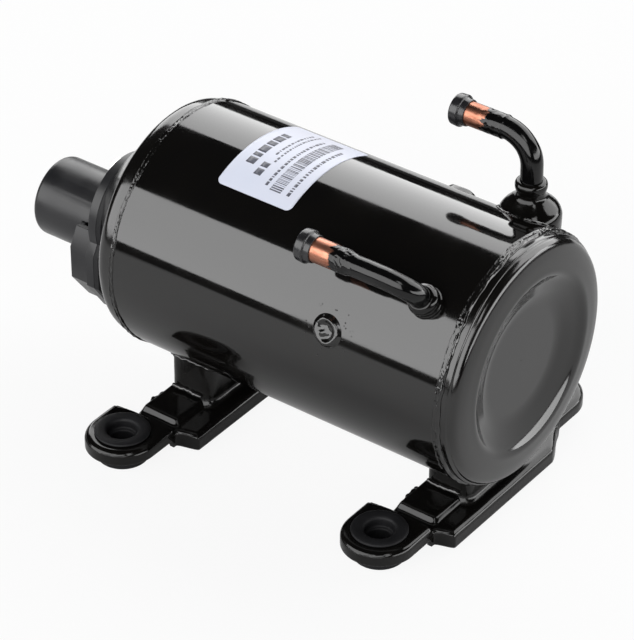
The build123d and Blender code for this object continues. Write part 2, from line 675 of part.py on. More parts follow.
# Paper rating label on the top of the shell.
with BuildPart() as rating_label:
    with BuildSketch(across(LABEL_X - LABEL_WIDTH / 2)):
        Circle(SHELL_R + LABEL_THICK)
        Circle(SHELL_R, mode=Mode.SUBTRACT)
        wedge = SHELL_R * 3
        half = math.radians(LABEL_HALF_ANGLE)
        with BuildLine():
            Polyline(
                (0, 0),
                (wedge * math.sin(half), wedge * math.cos(half)),
                (-wedge * math.sin(half), wedge * math.cos(half)),
                close=True,
            )
        make_face(mode=Mode.INTERSECT)
    extrude(amount=LABEL_WIDTH)
save(rating_label, "rating_label")


def cover_outline_points(inset):
    """Corners of the wire hood below the ring, seen square to the shell axis."""
    return (
        (-(HOOD_HALF_WIDTH - inset), -HOOD_TOP_DROP),
        (-(HOOD_HALF_WIDTH - inset), -HOOD_SIDE_DROP),
        (-(HOOD_FOOT_HALF - inset), -(HOOD_FOOT_DROP - inset)),
        (HOOD_FOOT_HALF - inset, -(HOOD_FOOT_DROP - inset)),
        (HOOD_HALF_WIDTH - inset, -HOOD_SIDE_DROP),
        (HOOD_HALF_WIDTH - inset, -HOOD_TOP_DROP),
        (RING_SHOULDER_HALF - inset, -HOOD_TOP_DROP + HOOD_SHOULDER_RISE),
        (-(RING_SHOULDER_HALF - inset), -HOOD_TOP_DROP + HOOD_SHOULDER_RISE),
    )


# Moulded plastic terminal cover: ring flange, wire hood and a barrel with a closed, rounded end.
barrel_z = AXIS_Z - COVER_BARREL_DROP
stud_z = AXIS_Z + STUD_RISE
with BuildPart() as terminal_cover:
    with BuildSketch(across(COVER_X)):
        with Locations((0, -COVER_RING_DROP)):
            Circle(COVER_RING_R)
        with BuildLine():
            Polyline(*cover_outline_points(0), close=True)
        make_face()
    extrude(amount=-COVER_FLANGE)
    with BuildSketch(across(COVER_X)):
        with BuildLine():
            Polyline(*cover_outline_points(HOOD_SET_IN), close=True)
        make_face()
    extrude(amount=-HOOD_DEPTH)
    with BuildSketch(across(COVER_X, z=barrel_z)):
        Circle(COVER_BARREL_R)
    extrude(amount=-COVER_LENGTH)
    fillet(terminal_cover.faces().sort_by(Axis.X)[0].edges(), COVER_EDGE_R)
    with BuildSketch(across(COVER_X, z=barrel_z)):
        Circle(COVER_BARREL_R - COVER_WALL)
    extrude(amount=-(COVER_LENGTH - COVER_WALL), mode=Mode.SUBTRACT)
    with BuildSketch(across(COVER_X)):
        with BuildLine():
            Polyline(*cover_outline_points(HOOD_SET_IN + COVER_WALL), close=True)
        make_face()
    extrude(amount=-(HOOD_DEPTH - COVER_WALL), mode=Mode.SUBTRACT)
    with BuildSketch(Plane(origin=(COVER_X, 0, AXIS_Z - HOOD_FOOT_DROP - 1))):
        with Locations((-(COVER_FLANGE + OUTLET_DEPTH / 2), 0)):
            Rectangle(OUTLET_DEPTH, OUTLET_WIDTH)
    extrude(amount=HOOD_SET_IN + COVER_WALL + 2, mode=Mode.SUBTRACT)
    with BuildSketch(across(COVER_X, z=stud_z)):
        Circle(STUD_R + STUD_CLEARANCE)
    extrude(amount=-COVER_FLANGE, mode=Mode.SUBTRACT)
save(terminal_cover, "terminal_cover")

# Rubber gasket between the pad and the cover, open over the header and the stud.
header_z = AXIS_Z - HEADER_DROP
with BuildPart() as terminal_gasket:
    with BuildSketch(across(COVER_X)):
        with Locations((0, -COVER_RING_DROP)):
            Circle(COVER_RING_R)
        with BuildLine():
            Polyline(*cover_outline_points(0), close=True)
        make_face()
        with Locations((0, -HEADER_DROP)):
            Circle(GASKET_HOLE_R, mode=Mode.SUBTRACT)
        with Locations((0, STUD_RISE)):
            Circle(STUD_R + STUD_CLEARANCE, mode=Mode.SUBTRACT)
    extrude(amount=GASKET_THICK)
save(terminal_gasket, "terminal_gasket")

# Weld stud on the pad with the nut and washer that hold the cover.
with BuildPart() as cover_stud:
    with BuildSketch(across(PAD_X, z=stud_z)):
        Circle(STUD_R)
    extrude(amount=-STUD_LENGTH)
save(cover_stud, "cover_stud")
with BuildPart() as cover_washer:
    with BuildSketch(across(COVER_X - COVER_FLANGE, z=stud_z)):
        Circle(WASHER_R)
        Circle(STUD_R + RUNNING_FIT, mode=Mode.SUBTRACT)
    extrude(amount=-WASHER_THICK)
save(cover_washer, "cover_washer")
with BuildPart() as cover_nut:
    with BuildSketch(across(COVER_X - COVER_FLANGE - WASHER_THICK, z=stud_z)):
        RegularPolygon(NUT_FLAT / 2, 6, major_radius=False)
        Circle(STUD_R, mode=Mode.SUBTRACT)
    extrude(amount=-NUT_THICK)
save(cover_nut, "cover_nut")

# Hermetic header with three glass-sealed pins.
pin_spots = []
for pin_angle in (90, 210, 330):
    pin_turn = math.radians(pin_angle)
    pin_spots.append((PIN_CIRCLE_R * math.cos(pin_turn), PIN_CIRCLE_R * math.sin(pin_turn)))
with BuildPart() as hermetic_header:
    with BuildSketch(across(PAD_X, z=header_z)):
        Circle(HEADER_R)
        with Locations(*pin_spots):
            Circle(BEAD_GLASS_R, mode=Mode.SUBTRACT)
    extrude(amount=CAP_SHEET)
save(hermetic_header, "hermetic_header")
with BuildPart() as glass_seals:
    with BuildSketch(across(PAD_X - HEADER_FLANGE / 2, z=header_z)):
        with Locations(*pin_spots):
            Circle(BEAD_GLASS_R)
        with Locations(*pin_spots):
            Circle(PIN_R, mode=Mode.SUBTRACT)
    extrude(amount=CAP_SHEET + HEADER_FLANGE)
save(glass_seals, "glass_seals")
with BuildPart() as terminal_pins:
    with BuildSketch(across(PAD_X - PIN_OUT, z=header_z)):
        with Locations(*pin_spots):
            Circle(PIN_R)
    extrude(amount=PIN_OUT + CAP_SHEET + PIN_IN)
save(terminal_pins, "terminal_pins")

# Overload protector in the barrel, pressed toward the header by a bent spring strip.
protector_front_x = PAD_X - PIN_OUT - PROTECTOR_GAP
cover_floor_x = COVER_X - COVER_LENGTH + COVER_WALL
with BuildPart() as overload_protector:
    with BuildSketch(across(protector_front_x, z=barrel_z)):
        Circle(PROTECTOR_R)
    extrude(amount=-PROTECTOR_THICK)
    fillet(overload_protector.faces().sort_by(Axis.X)[0].edges(), PROTECTOR_EDGE_R)
save(overload_protector, "overload_protector")
with BuildPart() as protector_spring:
    spring_room = protector_front_x - PROTECTOR_THICK - cover_floor_x
    with BuildSketch(Plane(origin=(cover_floor_x, 0, barrel_z), x_dir=(1, 0, 0), z_dir=(0, -1, 0))):
        with BuildLine():
            Polyline(
                (0, -SPRING_SPREAD),
                (spring_room - SPRING_STRIP, -SPRING_FLAT),
                (spring_room - SPRING_STRIP, SPRING_FLAT),
                (0, SPRING_SPREAD),
                (0, SPRING_SPREAD + SPRING_STRIP),
                (spring_room, SPRING_FLAT + SPRING_STRIP / 2),
                (spring_room, -SPRING_FLAT - SPRING_STRIP / 2),
                (0, -SPRING_SPREAD - SPRING_STRIP),
                close=True,
            )
        make_face()
    extrude(amount=SPRING_STRIP_WIDTH / 2, both=True)
save(protector_spring, "protector_spring")

# Stator: laminated core, and one winding piece of slot fill and two end rings.
with BuildPart() as stator_core:
    with BuildSketch(across(STACK_REAR_X)):
        Circle(SHELL_BORE_R)
        Circle(STATOR_BORE_R, mode=Mode.SUBTRACT)
        with PolarLocations(STATOR_BORE_R + SLOT_START + SLOT_DEPTH / 2, SLOT_COUNT):
            Rectangle(SLOT_DEPTH, SLOT_WIDTH, mode=Mode.SUBTRACT)
    extrude(amount=STACK_LENGTH)
save(stator_core, "stator_core")
with BuildPart() as stator_windings:
    with BuildSketch(across(MOTOR_REAR_X)):
        with PolarLocations(STATOR_BORE_R + SLOT_START + SLOT_DEPTH / 2, SLOT_COUNT):
            Rectangle(SLOT_DEPTH - 2 * SLOT_CLEARANCE, SLOT_WIDTH - 2 * SLOT_CLEARANCE)
    extrude(amount=MOTOR_FRONT_X - MOTOR_REAR_X)
    for ring_x, ring_end in (
        (MOTOR_REAR_X, STACK_REAR_X - WINDING_END_GAP),
        (STACK_FRONT_X + WINDING_END_GAP, MOTOR_FRONT_X),
    ):
        with BuildSketch(across(ring_x)):
            Circle(SHELL_BORE_R - WINDING_OUTER_GAP)
            Circle(STATOR_BORE_R + WINDING_INNER_GAP, mode=Mode.SUBTRACT)
        extrude(amount=ring_end - ring_x)
save(stator_windings, "stator_windings")

# Rotor: laminated core, cast end rings and a balance weight on the pump side.
with BuildPart() as rotor_core:
    with BuildSketch(across(STACK_REAR_X)):
        Circle(ROTOR_R)
        Circle(SHAFT_R, mode=Mode.SUBTRACT)
    extrude(amount=STACK_LENGTH)
save(rotor_core, "rotor_core")
with BuildPart() as rotor_end_rings:
    for ring_x in (STACK_REAR_X - ROTOR_RING_THICK, STACK_FRONT_X):
        with BuildSketch(across(ring_x)):
            Circle(ROTOR_RING_R)
            Circle(ROTOR_RING_BORE_R, mode=Mode.SUBTRACT)
        extrude(amount=ROTOR_RING_THICK)
save(rotor_end_rings, "rotor_end_rings")
with BuildPart() as balance_weight:
    with BuildSketch(across(STACK_FRONT_X + ROTOR_RING_THICK)):
        Circle(ROTOR_RING_R)
        Circle(ROTOR_RING_BORE_R, mode=Mode.SUBTRACT)
        with Locations(Rot(0, 0, CRANK_REST_ANGLE - 90) * Pos(ROTOR_RING_R, 0, 0)):
            Rectangle(2 * ROTOR_RING_R, 3 * ROTOR_RING_R, mode=Mode.SUBTRACT)
    extrude(amount=BALANCE_THICK)
save(balance_weight, "balance_weight")

# Crankshaft: plain shaft with the crankpin turned to its rest angle.
with BuildPart() as crankshaft:
    shaft_rear_x = STACK_REAR_X - ROTOR_RING_THICK - SHAFT_TAIL
    with BuildSketch(across(shaft_rear_x)):
        Circle(SHAFT_R)
    extrude(amount=SUB_FRONT_X + SUB_HUB - shaft_rear_x)
    with BuildSketch(across(PUMP_REAR_X + FACE_GAP, CRANKPIN_Y, CRANKPIN_Z)):
        Circle(CRANKPIN_R)
    extrude(amount=CYLINDER_HEIGHT - 2 * FACE_GAP)
save(crankshaft, "crankshaft")

# Roller on the crankpin.
with BuildPart() as roller:
    with BuildSketch(across(PUMP_REAR_X + FACE_GAP, CRANKPIN_Y, CRANKPIN_Z)):
        Circle(ROLLER_R)
        Circle(CRANKPIN_R + RUNNING_FIT, mode=Mode.SUBTRACT)
    extrude(amount=CYLINDER_HEIGHT - 2 * FACE_GAP)
save(roller, "roller")

# Cylinder block: bore, vane slot, spring hole, cross-drilled suction port and bolt holes.
bolt_spots = []
for bolt_angle in BOLT_ANGLES:
    bolt_turn = math.radians(bolt_angle)
    bolt_spots.append((BOLT_CIRCLE_R * math.cos(bolt_turn), BOLT_CIRCLE_R * math.sin(bolt_turn)))
vane_back = CYLINDER_BORE_R + VANE_LENGTH
port_r = SUCTION_TUBE_R - SUCTION_TUBE_WALL
with BuildPart() as cylinder_block:
    with BuildSketch(across(PUMP_REAR_X)):
        Circle(BLOCK_R)
        Circle(CYLINDER_BORE_R, mode=Mode.SUBTRACT)
        with Locations((0, -(CYLINDER_BORE_R + VANE_LENGTH / 2))):
            Rectangle(VANE_THICK + 2 * RUNNING_FIT, VANE_LENGTH + VANE_SLOT_OVER, mode=Mode.SUBTRACT)
        with Locations(*bolt_spots):
            Circle(BOLT_R + RUNNING_FIT, mode=Mode.SUBTRACT)
    extrude(amount=CYLINDER_HEIGHT)
    spring_hole_top = AXIS_Z - vane_back + VANE_TRAVEL + VANE_SLOT_OVER / 2
    with BuildSketch(Plane(origin=(PUMP_X, 0, spring_hole_top), z_dir=(0, 0, -1))):
        Circle(SPRING_HOLE_R)
    extrude(amount=BLOCK_R, mode=Mode.SUBTRACT)
    with BuildSketch(suction_plane.offset(INLET_CROSS_H)):
        Circle(port_r)
    extrude(amount=BLOCK_R, mode=Mode.SUBTRACT)
    with BuildSketch(Plane(origin=(PUMP_X, 0, AXIS_Z + INLET_CROSS_H), z_dir=(0, 1, 0))):
        Circle(port_r)
    extrude(amount=SUCTION_Y, mode=Mode.SUBTRACT)
save(cylinder_block, "cylinder_block")

# Vane with a rounded tip, drawn back flush with the bore, and the spring behind it.
with BuildPart() as vane:
    with BuildSketch(across(PUMP_REAR_X + FACE_GAP)):
        with BuildLine():
            half = VANE_THICK / 2
            tip = -(CYLINDER_BORE_R + VANE_TIP_GAP)
            shoulder_drop = VANE_TIP_R - math.sqrt(VANE_TIP_R**2 - half**2)
            ThreePointArc((-half, tip - shoulder_drop), (0, tip), (half, tip - shoulder_drop))
            Line((half, tip - shoulder_drop), (half, -vane_back))
            Line((half, -vane_back), (-half, -vane_back))
            Line((-half, -vane_back), (-half, tip - shoulder_drop))
        make_face()
    extrude(amount=CYLINDER_HEIGHT - 2 * FACE_GAP)
save(vane, "vane")
spring_bottom = BLOCK_R - SPRING_SEAT_THICK
with BuildPart() as vane_spring:
    with BuildSketch(Plane(origin=(PUMP_X, 0, AXIS_Z - spring_bottom))):
        Circle(SPRING_R)
        Circle(SPRING_BORE_R, mode=Mode.SUBTRACT)
    extrude(amount=spring_bottom - vane_back - FACE_GAP)
save(vane_spring, "vane_spring")
with BuildPart() as spring_seat:
    with BuildSketch(Plane(origin=(PUMP_X, 0, AXIS_Z - spring_bottom), z_dir=(0, 0, -1))):
        Circle(SPRING_HOLE_R)
    extrude(amount=SPRING_SEAT_THICK - SPRING_SEAT_CROWN)
save(spring_seat, "spring_seat")

# Pump frame: plate, welded skirt and the long main-bearing hub.
with BuildPart() as pump_frame:
    with BuildSketch(across(FRAME_REAR_X)):
        Circle(SHELL_BORE_R)
    extrude(amount=FRAME_PLATE)
    with BuildSketch(across(SKIRT_REAR_X)):
        Circle(SHELL_BORE_R)
        Circle(SHELL_BORE_R - FRAME_SKIRT_WALL, mode=Mode.SUBTRACT)
    extrude(amount=FRAME_SKIRT)
    with BuildSketch(across(HUB_REAR_X)):
        Circle(HUB_R)
    extrude(amount=HUB_LENGTH)
    with BuildSketch(across(HUB_REAR_X)):
        Circle(SHAFT_R + RUNNING_FIT)
    extrude(amount=HUB_LENGTH + FRAME_PLATE, mode=Mode.SUBTRACT)
    with BuildSketch(across(FRAME_REAR_X)):
        with Locations((PORT_Y, -PORT_DROP)):
            Circle(PORT_R)
        gas_hole_circle_r = MUFFLER_R + GAS_HOLE_R + GAS_HOLE_GAP
        with PolarLocations(gas_hole_circle_r, GAS_HOLE_COUNT, start_angle=GAS_HOLE_START):
            Circle(GAS_HOLE_R)
    extrude(amount=FRAME_PLATE, mode=Mode.SUBTRACT)
    with BuildSketch(across(PUMP_REAR_X)):
        with Locations(*bolt_spots):
            Circle(BOLT_R)
    extrude(amount=-BOLT_ENGAGE, mode=Mode.SUBTRACT)
save(pump_frame, "pump_frame")

# Sub bearing that closes the cylinder on the cap side.
with BuildPart() as sub_bearing:
    with BuildSketch(across(PUMP_FRONT_X)):
        Circle(SUB_R)
        with Locations(*bolt_spots):
            Circle(BOLT_R + RUNNING_FIT, mode=Mode.SUBTRACT)
    extrude(amount=SUB_PLATE)
    with BuildSketch(across(SUB_FRONT_X)):
        Circle(HUB_R)
    extrude(amount=SUB_HUB)
    with BuildSketch(across(PUMP_FRONT_X)):
        Circle(SHAFT_R + RUNNING_FIT)
    extrude(amount=SUB_PLATE + SUB_HUB, mode=Mode.SUBTRACT)
save(sub_bearing, "sub_bearing")

# Bolts through the sub bearing and the block into the frame.
with BuildPart() as pump_bolts:
    with BuildSketch(across(SUB_FRONT_X)):
        with Locations(*bolt_spots):
            RegularPolygon(BOLT_HEAD_R, 6)
    extrude(amount=BOLT_HEAD)
    with BuildSketch(across(SUB_FRONT_X)):
        with Locations(*bolt_spots):
            Circle(BOLT_R)
    extrude(amount=-(SUB_PLATE + CYLINDER_HEIGHT + BOLT_ENGAGE - FACE_GAP))
save(pump_bolts, "pump_bolts")

# Discharge reed over its port, the stop above it, its rivet, and the muffler over them all.
reed_root_y = PORT_Y - REED_WIDTH / 2 + REED_LENGTH
with BuildPart() as discharge_reed:
    with BuildSketch(across(FRAME_REAR_X - FACE_GAP)):
        with Locations((reed_root_y - REED_LENGTH / 2, -PORT_DROP)):
            RectangleRounded(REED_LENGTH, REED_WIDTH, REED_WIDTH / 2 - REED_ROUND_GAP)
        with Locations((reed_root_y - REED_WIDTH / 2, -PORT_DROP)):
            Rectangle(REED_WIDTH, REED_WIDTH)
    extrude(amount=-REED_THICK)
save(discharge_reed, "discharge_reed")
clamp_y = reed_root_y + REED_CLAMP_GAP
stop_rise = REED_THICK + 2 * FACE_GAP + STOP_CLEARANCE
stop_back = stop_rise + STOP_THICK
with BuildPart() as valve_stop:
    stop_plane = Plane(
        origin=(FRAME_REAR_X, clamp_y, AXIS_Z - PORT_DROP), x_dir=(0, -1, 0), z_dir=(0, 0, 1)
    )
    with BuildSketch(stop_plane):
        with BuildLine():
            reach = REED_LENGTH - STOP_SHORT
            lift = reach * math.tan(math.radians(STOP_ANGLE))
            Polyline(
                (-STOP_BLOCK, 0),
                (0, 0),
                (0, -stop_rise),
                (reach, -(stop_rise + lift)),
                (reach, -(stop_rise + lift + STOP_THICK)),
                (0, -stop_back),
                (-STOP_BLOCK, -stop_back),
                close=True,
            )
        make_face()
    extrude(amount=REED_WIDTH / 2, both=True)
    with BuildSketch(across(FRAME_REAR_X, clamp_y + STOP_BLOCK / 2, AXIS_Z - PORT_DROP)):
        Circle(RIVET_R)
    extrude(amount=-MUFFLER_DEPTH, mode=Mode.SUBTRACT)
save(valve_stop, "valve_stop")
with BuildPart() as stop_rivet:
    with BuildSketch(across(FRAME_REAR_X, clamp_y + STOP_BLOCK / 2, AXIS_Z - PORT_DROP)):
        Circle(RIVET_R)
    extrude(amount=-stop_back)
    with BuildSketch(across(FRAME_REAR_X - stop_back, clamp_y + STOP_BLOCK / 2, AXIS_Z - PORT_DROP)):
        Circle(RIVET_R + RIVET_HEAD_WIDER)
    extrude(amount=-RIVET_HEAD)
save(stop_rivet, "stop_rivet")
with BuildPart() as muffler:
    with BuildSketch(across(FRAME_REAR_X)):
        Circle(MUFFLER_R)
        Circle(HUB_R + MUFFLER_HUB_GAP, mode=Mode.SUBTRACT)
    extrude(amount=-MUFFLER_DEPTH)
    with BuildSketch(across(FRAME_REAR_X)):
        Circle(MUFFLER_R - MUFFLER_WALL)
        Circle(HUB_R + MUFFLER_HUB_GAP, mode=Mode.SUBTRACT)
    extrude(amount=-(MUFFLER_DEPTH - MUFFLER_WALL), mode=Mode.SUBTRACT)
    with BuildSketch(across(FRAME_REAR_X - MUFFLER_DEPTH)):
        with PolarLocations((MUFFLER_R + HUB_R) / 2, 2):
            Circle(MUFFLER_HOLE_R)
    extrude(amount=MUFFLER_WALL, mode=Mode.SUBTRACT)
save(muffler, "muffler")

# Oil tube from the sub bearing down into the sump.
with BuildPart() as oil_tube:
    oil_tube_x = SUB_FRONT_X + OIL_TUBE_R + FACE_GAP
    with BuildSketch(Plane(origin=(oil_tube_x, 0, AXIS_Z - HUB_R - FACE_GAP), z_dir=(0, 0, -1))):
        Circle(OIL_TUBE_R)
        Circle(OIL_TUBE_R - OIL_TUBE_WALL, mode=Mode.SUBTRACT)
    extrude(amount=OIL_TUBE_DROP - HUB_R)
save(oil_tube, "oil_tube")

# Connector block on the inner ends of the terminal pins.
connector_rear_x = PAD_X + CAP_SHEET + CONNECTOR_GAP
connector_front_x = connector_rear_x + CONNECTOR_LENGTH
with BuildPart() as connector_block:
    with BuildSketch(across(connector_rear_x, z=header_z)):
        Circle(CONNECTOR_R)
        with Locations(*pin_spots):
            Circle(PIN_R + RUNNING_FIT, mode=Mode.SUBTRACT)
    extrude(amount=CONNECTOR_LENGTH)
save(connector_block, "connector_block")

# Three insulated leads, each straight out of the block, across, and straight into the winding.
with BuildPart() as winding_leads:
    for (lead_y, lead_z), lead_angle in zip(pin_spots, LEAD_ANGLES):
        lead_turn = math.radians(lead_angle)
        start = Vector(connector_front_x, lead_y, header_z + lead_z)
        end = Vector(
            MOTOR_REAR_X,
            LEAD_CIRCLE_R * math.cos(lead_turn),
            AXIS_Z + LEAD_CIRCLE_R * math.sin(lead_turn),
        )
        sideways = Vector(0, end.Y - start.Y, end.Z - start.Z)
        lead_plane = Plane(origin=start, x_dir=(1, 0, 0), z_dir=Vector(1, 0, 0).cross(sideways))
        with BuildLine(lead_plane) as lead_path:
            FilletPolyline(
                (0, 0),
                (LEAD_STRAIGHT, 0),
                (MOTOR_REAR_X - connector_front_x - LEAD_STRAIGHT, sideways.length),
                (MOTOR_REAR_X - connector_front_x, sideways.length),
                radius=LEAD_BEND_R,
            )
        with BuildSketch(Plane(origin=start, z_dir=(1, 0, 0))):
            Circle(LEAD_R)
        sweep(path=lead_path.wire())
save(winding_leads, "winding_leads")
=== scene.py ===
import bpy
import bmesh
import json
import math
import numpy as np
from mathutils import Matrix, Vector


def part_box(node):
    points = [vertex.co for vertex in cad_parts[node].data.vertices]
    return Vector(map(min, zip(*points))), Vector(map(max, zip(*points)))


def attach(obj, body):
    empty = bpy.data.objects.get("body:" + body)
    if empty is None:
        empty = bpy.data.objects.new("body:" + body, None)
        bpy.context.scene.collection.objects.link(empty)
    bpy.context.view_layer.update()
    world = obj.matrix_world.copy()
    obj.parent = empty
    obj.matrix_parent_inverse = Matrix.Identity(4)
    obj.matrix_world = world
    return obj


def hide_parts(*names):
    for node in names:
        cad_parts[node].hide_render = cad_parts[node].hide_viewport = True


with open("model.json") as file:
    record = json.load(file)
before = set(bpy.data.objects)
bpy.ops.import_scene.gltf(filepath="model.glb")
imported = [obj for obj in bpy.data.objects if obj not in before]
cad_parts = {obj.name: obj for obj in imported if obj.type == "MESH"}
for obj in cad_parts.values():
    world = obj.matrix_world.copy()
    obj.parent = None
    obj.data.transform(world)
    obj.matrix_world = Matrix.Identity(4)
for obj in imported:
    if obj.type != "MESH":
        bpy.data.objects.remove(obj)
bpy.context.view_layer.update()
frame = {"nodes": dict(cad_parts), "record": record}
node = frame["nodes"]
MM = 0.001

# ---- camera ----------------------------------------------------------------------------------
# A long lens from the pump end, looking down at the near side.
CAMERA_FROM = (0.59625, -0.89217, 0.82994)
CAMERA_TO = (-0.07185, 0.0, 0.04657)
LENS_LENGTH = 196.82
SENSOR_WIDTH = 36.0
camera_data = bpy.data.cameras.new("camera")
camera_data.lens = LENS_LENGTH
camera_data.sensor_width = SENSOR_WIDTH
camera_data.sensor_fit = "HORIZONTAL"
camera_data.clip_start = 0.05
camera_data.clip_end = 50.0
camera = bpy.data.objects.new("camera", camera_data)
camera.location = CAMERA_FROM
aim = Vector(CAMERA_TO) - Vector(CAMERA_FROM)
camera.rotation_euler = aim.to_track_quat("-Z", "Y").to_euler()
bpy.context.scene.collection.objects.link(camera)
bpy.context.scene.camera = camera
bpy.context.scene.view_settings.view_transform = "Standard"

# ---- softboxes -------------------------------------------------------------------------------
# Two long softboxes beside the shell, seen as the broad bands in its gloss. Each fills a range
# of angles round the shell axis, counted from straight up toward -Y.
shell_low, shell_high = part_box("main_shell")
SHELL_R = (shell_high.y - shell_low.y) / 2 / MM
AXIS_Z = (shell_high.z + shell_low.z) / 2 / MM
SHELL_REAR_X = shell_low.x / MM
SHELL_FRONT_X = shell_high.x / MM
SOFTBOX_DISTANCE = 1.6
SOFTBOX_LENGTH = 4.4
SOFTBOX_X = -0.7


def softbox(name, from_degrees, to_degrees, radiance):
    """An area light facing the shell axis: its middle is at the mean angle, its width fills the range."""
    middle = math.radians((from_degrees + to_degrees) / 2)
    half = math.radians((to_degrees - from_degrees) / 2)
    width = 2 * SOFTBOX_DISTANCE * math.tan(half)
    data = bpy.data.lights.new(name, "AREA")
    data.shape = "RECTANGLE"
    data.size = SOFTBOX_LENGTH
    data.size_y = width
    data.energy = radiance * math.pi * SOFTBOX_LENGTH * width
    light = bpy.data.objects.new(name, data)
    across = -SOFTBOX_DISTANCE * math.sin(middle)
    height = AXIS_Z * MM + SOFTBOX_DISTANCE * math.cos(middle)
    light.location = (SOFTBOX_X, across, height)
    toward = Vector((0.0, -across, AXIS_Z * MM - height))
    light.rotation_euler = toward.to_track_quat("-Z", "Y").to_euler()
    bpy.context.scene.collection.objects.link(light)


softbox("far_softbox", from_degrees=-80, to_degrees=-31, radiance=4.2)
softbox("near_softbox", from_degrees=40.5, to_degrees=91, radiance=4.3)


def card(name, place, size, radiance):
    """An area light at a place in metres, turned to face the front cap."""
    data = bpy.data.lights.new(name, "AREA")
    data.shape = "RECTANGLE"
    data.size, data.size_y = size
    data.energy = radiance * math.pi * size[0] * size[1]
    light = bpy.data.objects.new(name, data)
    light.location = place
    toward = Vector((SHELL_FRONT_X * MM, 0.0, AXIS_Z * MM)) - Vector(place)
    light.rotation_euler = toward.to_track_quat("-Z", "Y").to_euler()
    bpy.context.scene.collection.objects.link(light)


# A low card stands beyond the pump end and a small lamp hangs over it. They show only where
# something turns toward +X: the dish of the front cap and the elbows of the pipes.
card("low_card", place=(1.5, 0.55, 0.16), size=(2.6, 0.55), radiance=5.5)
card("high_card", place=(0.95, -0.62, 1.35), size=(0.34, 0.5), radiance=4.5)


# ---- table and room --------------------------------------------------------------------------
# A pale round table under the part. It ends a little way out, in a dark floor and a dark room,
# so that low reflections in the enamel turn dark there. The camera alone sees all of it near white.
TABLE_R = 0.52
TABLE_EDGE = 0.15
TABLE_WHITE = 0.5
TABLE_ROUGH = 0.9
BEYOND_WHITE = 0.02
FLOOR_HALF = 12.0
CAMERA_WHITENING = 0.9
ROOM_DARK = 0.02


def new_material(name):
    """A material with its node tree and its principled shader."""
    material = bpy.data.materials.new(name)
    material.use_nodes = True
    return material, material.node_tree, material.node_tree.nodes["Principled BSDF"]


def add(tree, kind, inputs=None, **properties):
    """One shader node, with its properties and the values of its open inputs."""
    made = tree.nodes.new(kind)
    for key, value in properties.items():
        setattr(made, key, value)
    for key, value in (inputs or {}).items():
        made.inputs[key].default_value = value
    return made


floor_data = bpy.data.meshes.new("floor")
floor_corners = [(-FLOOR_HALF, -FLOOR_HALF, 0), (FLOOR_HALF, -FLOOR_HALF, 0)]
floor_corners += [(FLOOR_HALF, FLOOR_HALF, 0), (-FLOOR_HALF, FLOOR_HALF, 0)]
floor_data.from_pydata(floor_corners, [], [(0, 1, 2, 3)])
floor = bpy.data.objects.new("floor", floor_data)
bpy.context.scene.collection.objects.link(floor)
floor_paint, tree, shader = new_material("pale_table")
shader.inputs["Roughness"].default_value = TABLE_ROUGH
shader.inputs["Specular IOR Level"].default_value = 0.0
place = add(tree, "ShaderNodeTexCoord")
reach = add(tree, "ShaderNodeVectorMath", {1: (CAMERA_TO[0], 0, 0)}, operation="DISTANCE")
edge = add(tree, "ShaderNodeMapRange", {
    "From Min": TABLE_R,
    "From Max": TABLE_R + TABLE_EDGE,
    "To Min": TABLE_WHITE,
    "To Max": BEYOND_WHITE,
})
seen = add(tree, "ShaderNodeLightPath")
share = add(tree, "ShaderNodeMath", {1: CAMERA_WHITENING}, operation="MULTIPLY")
white = add(tree, "ShaderNodeEmission", {"Color": (1, 1, 1, 1), "Strength": 1.0})
blend = add(tree, "ShaderNodeMixShader")
tree.links.new(place.outputs["Object"], reach.inputs[0])
tree.links.new(reach.outputs["Value"], edge.inputs["Value"])
tree.links.new(edge.outputs["Result"], shader.inputs["Base Color"])
tree.links.new(seen.outputs["Is Camera Ray"], share.inputs[0])
tree.links.new(share.outputs["Value"], blend.inputs["Fac"])
tree.links.new(shader.outputs["BSDF"], blend.inputs[1])
tree.links.new(white.outputs["Emission"], blend.inputs[2])
tree.links.new(blend.outputs["Shader"], tree.nodes["Material Output"].inputs["Surface"])
floor_data.materials.append(floor_paint)

room = bpy.data.worlds.new("room")
bpy.context.scene.world = room
room.use_nodes = True
tree = room.node_tree
seen = add(tree, "ShaderNodeLightPath")
level = add(tree, "ShaderNodeMapRange", {"To Min": ROOM_DARK, "To Max": 1.0})
tree.links.new(seen.outputs["Is Camera Ray"], level.inputs["Value"])
tree.links.new(level.outputs["Result"], tree.nodes["Background"].inputs["Strength"])
tree.nodes["Background"].inputs["Color"].default_value = (1, 1, 1, 1)


# ---- shell -----------------------------------------------------------------------------------
# Rolled steel tube, sprayed and stoved in gloss black enamel, whose surface is faintly wavy and
# has the fine dimples of sprayed paint.
ENAMEL_BLACK = (0.0016, 0.0016, 0.0017, 1)
ENAMEL_WARM = (0.0026, 0.0022, 0.0018, 1)
ENAMEL_IOR = 1.6
THIN_ENAMEL_IOR = 1.4
EVEN = (1, 1, 1)
NOISE_LOW = 0.3
NOISE_HIGH = 0.7


def pattern(tree, size, detail=2.0, stretch=EVEN):
    """Noise in the piece's own space: lumps about size mm across, drawn out along an axis by stretch."""
    place = add(tree, "ShaderNodeTexCoord")
    squeeze = tuple(1 / share for share in stretch)
    draw = add(tree, "ShaderNodeVectorMath", {1: squeeze}, operation="MULTIPLY")
    noise = add(tree, "ShaderNodeTexNoise", {"Scale": 1 / (size * MM), "Detail": detail})
    tree.links.new(place.outputs["Object"], draw.inputs[0])
    tree.links.new(draw.outputs["Vector"], noise.inputs["Vector"])
    return noise.outputs["Fac"]


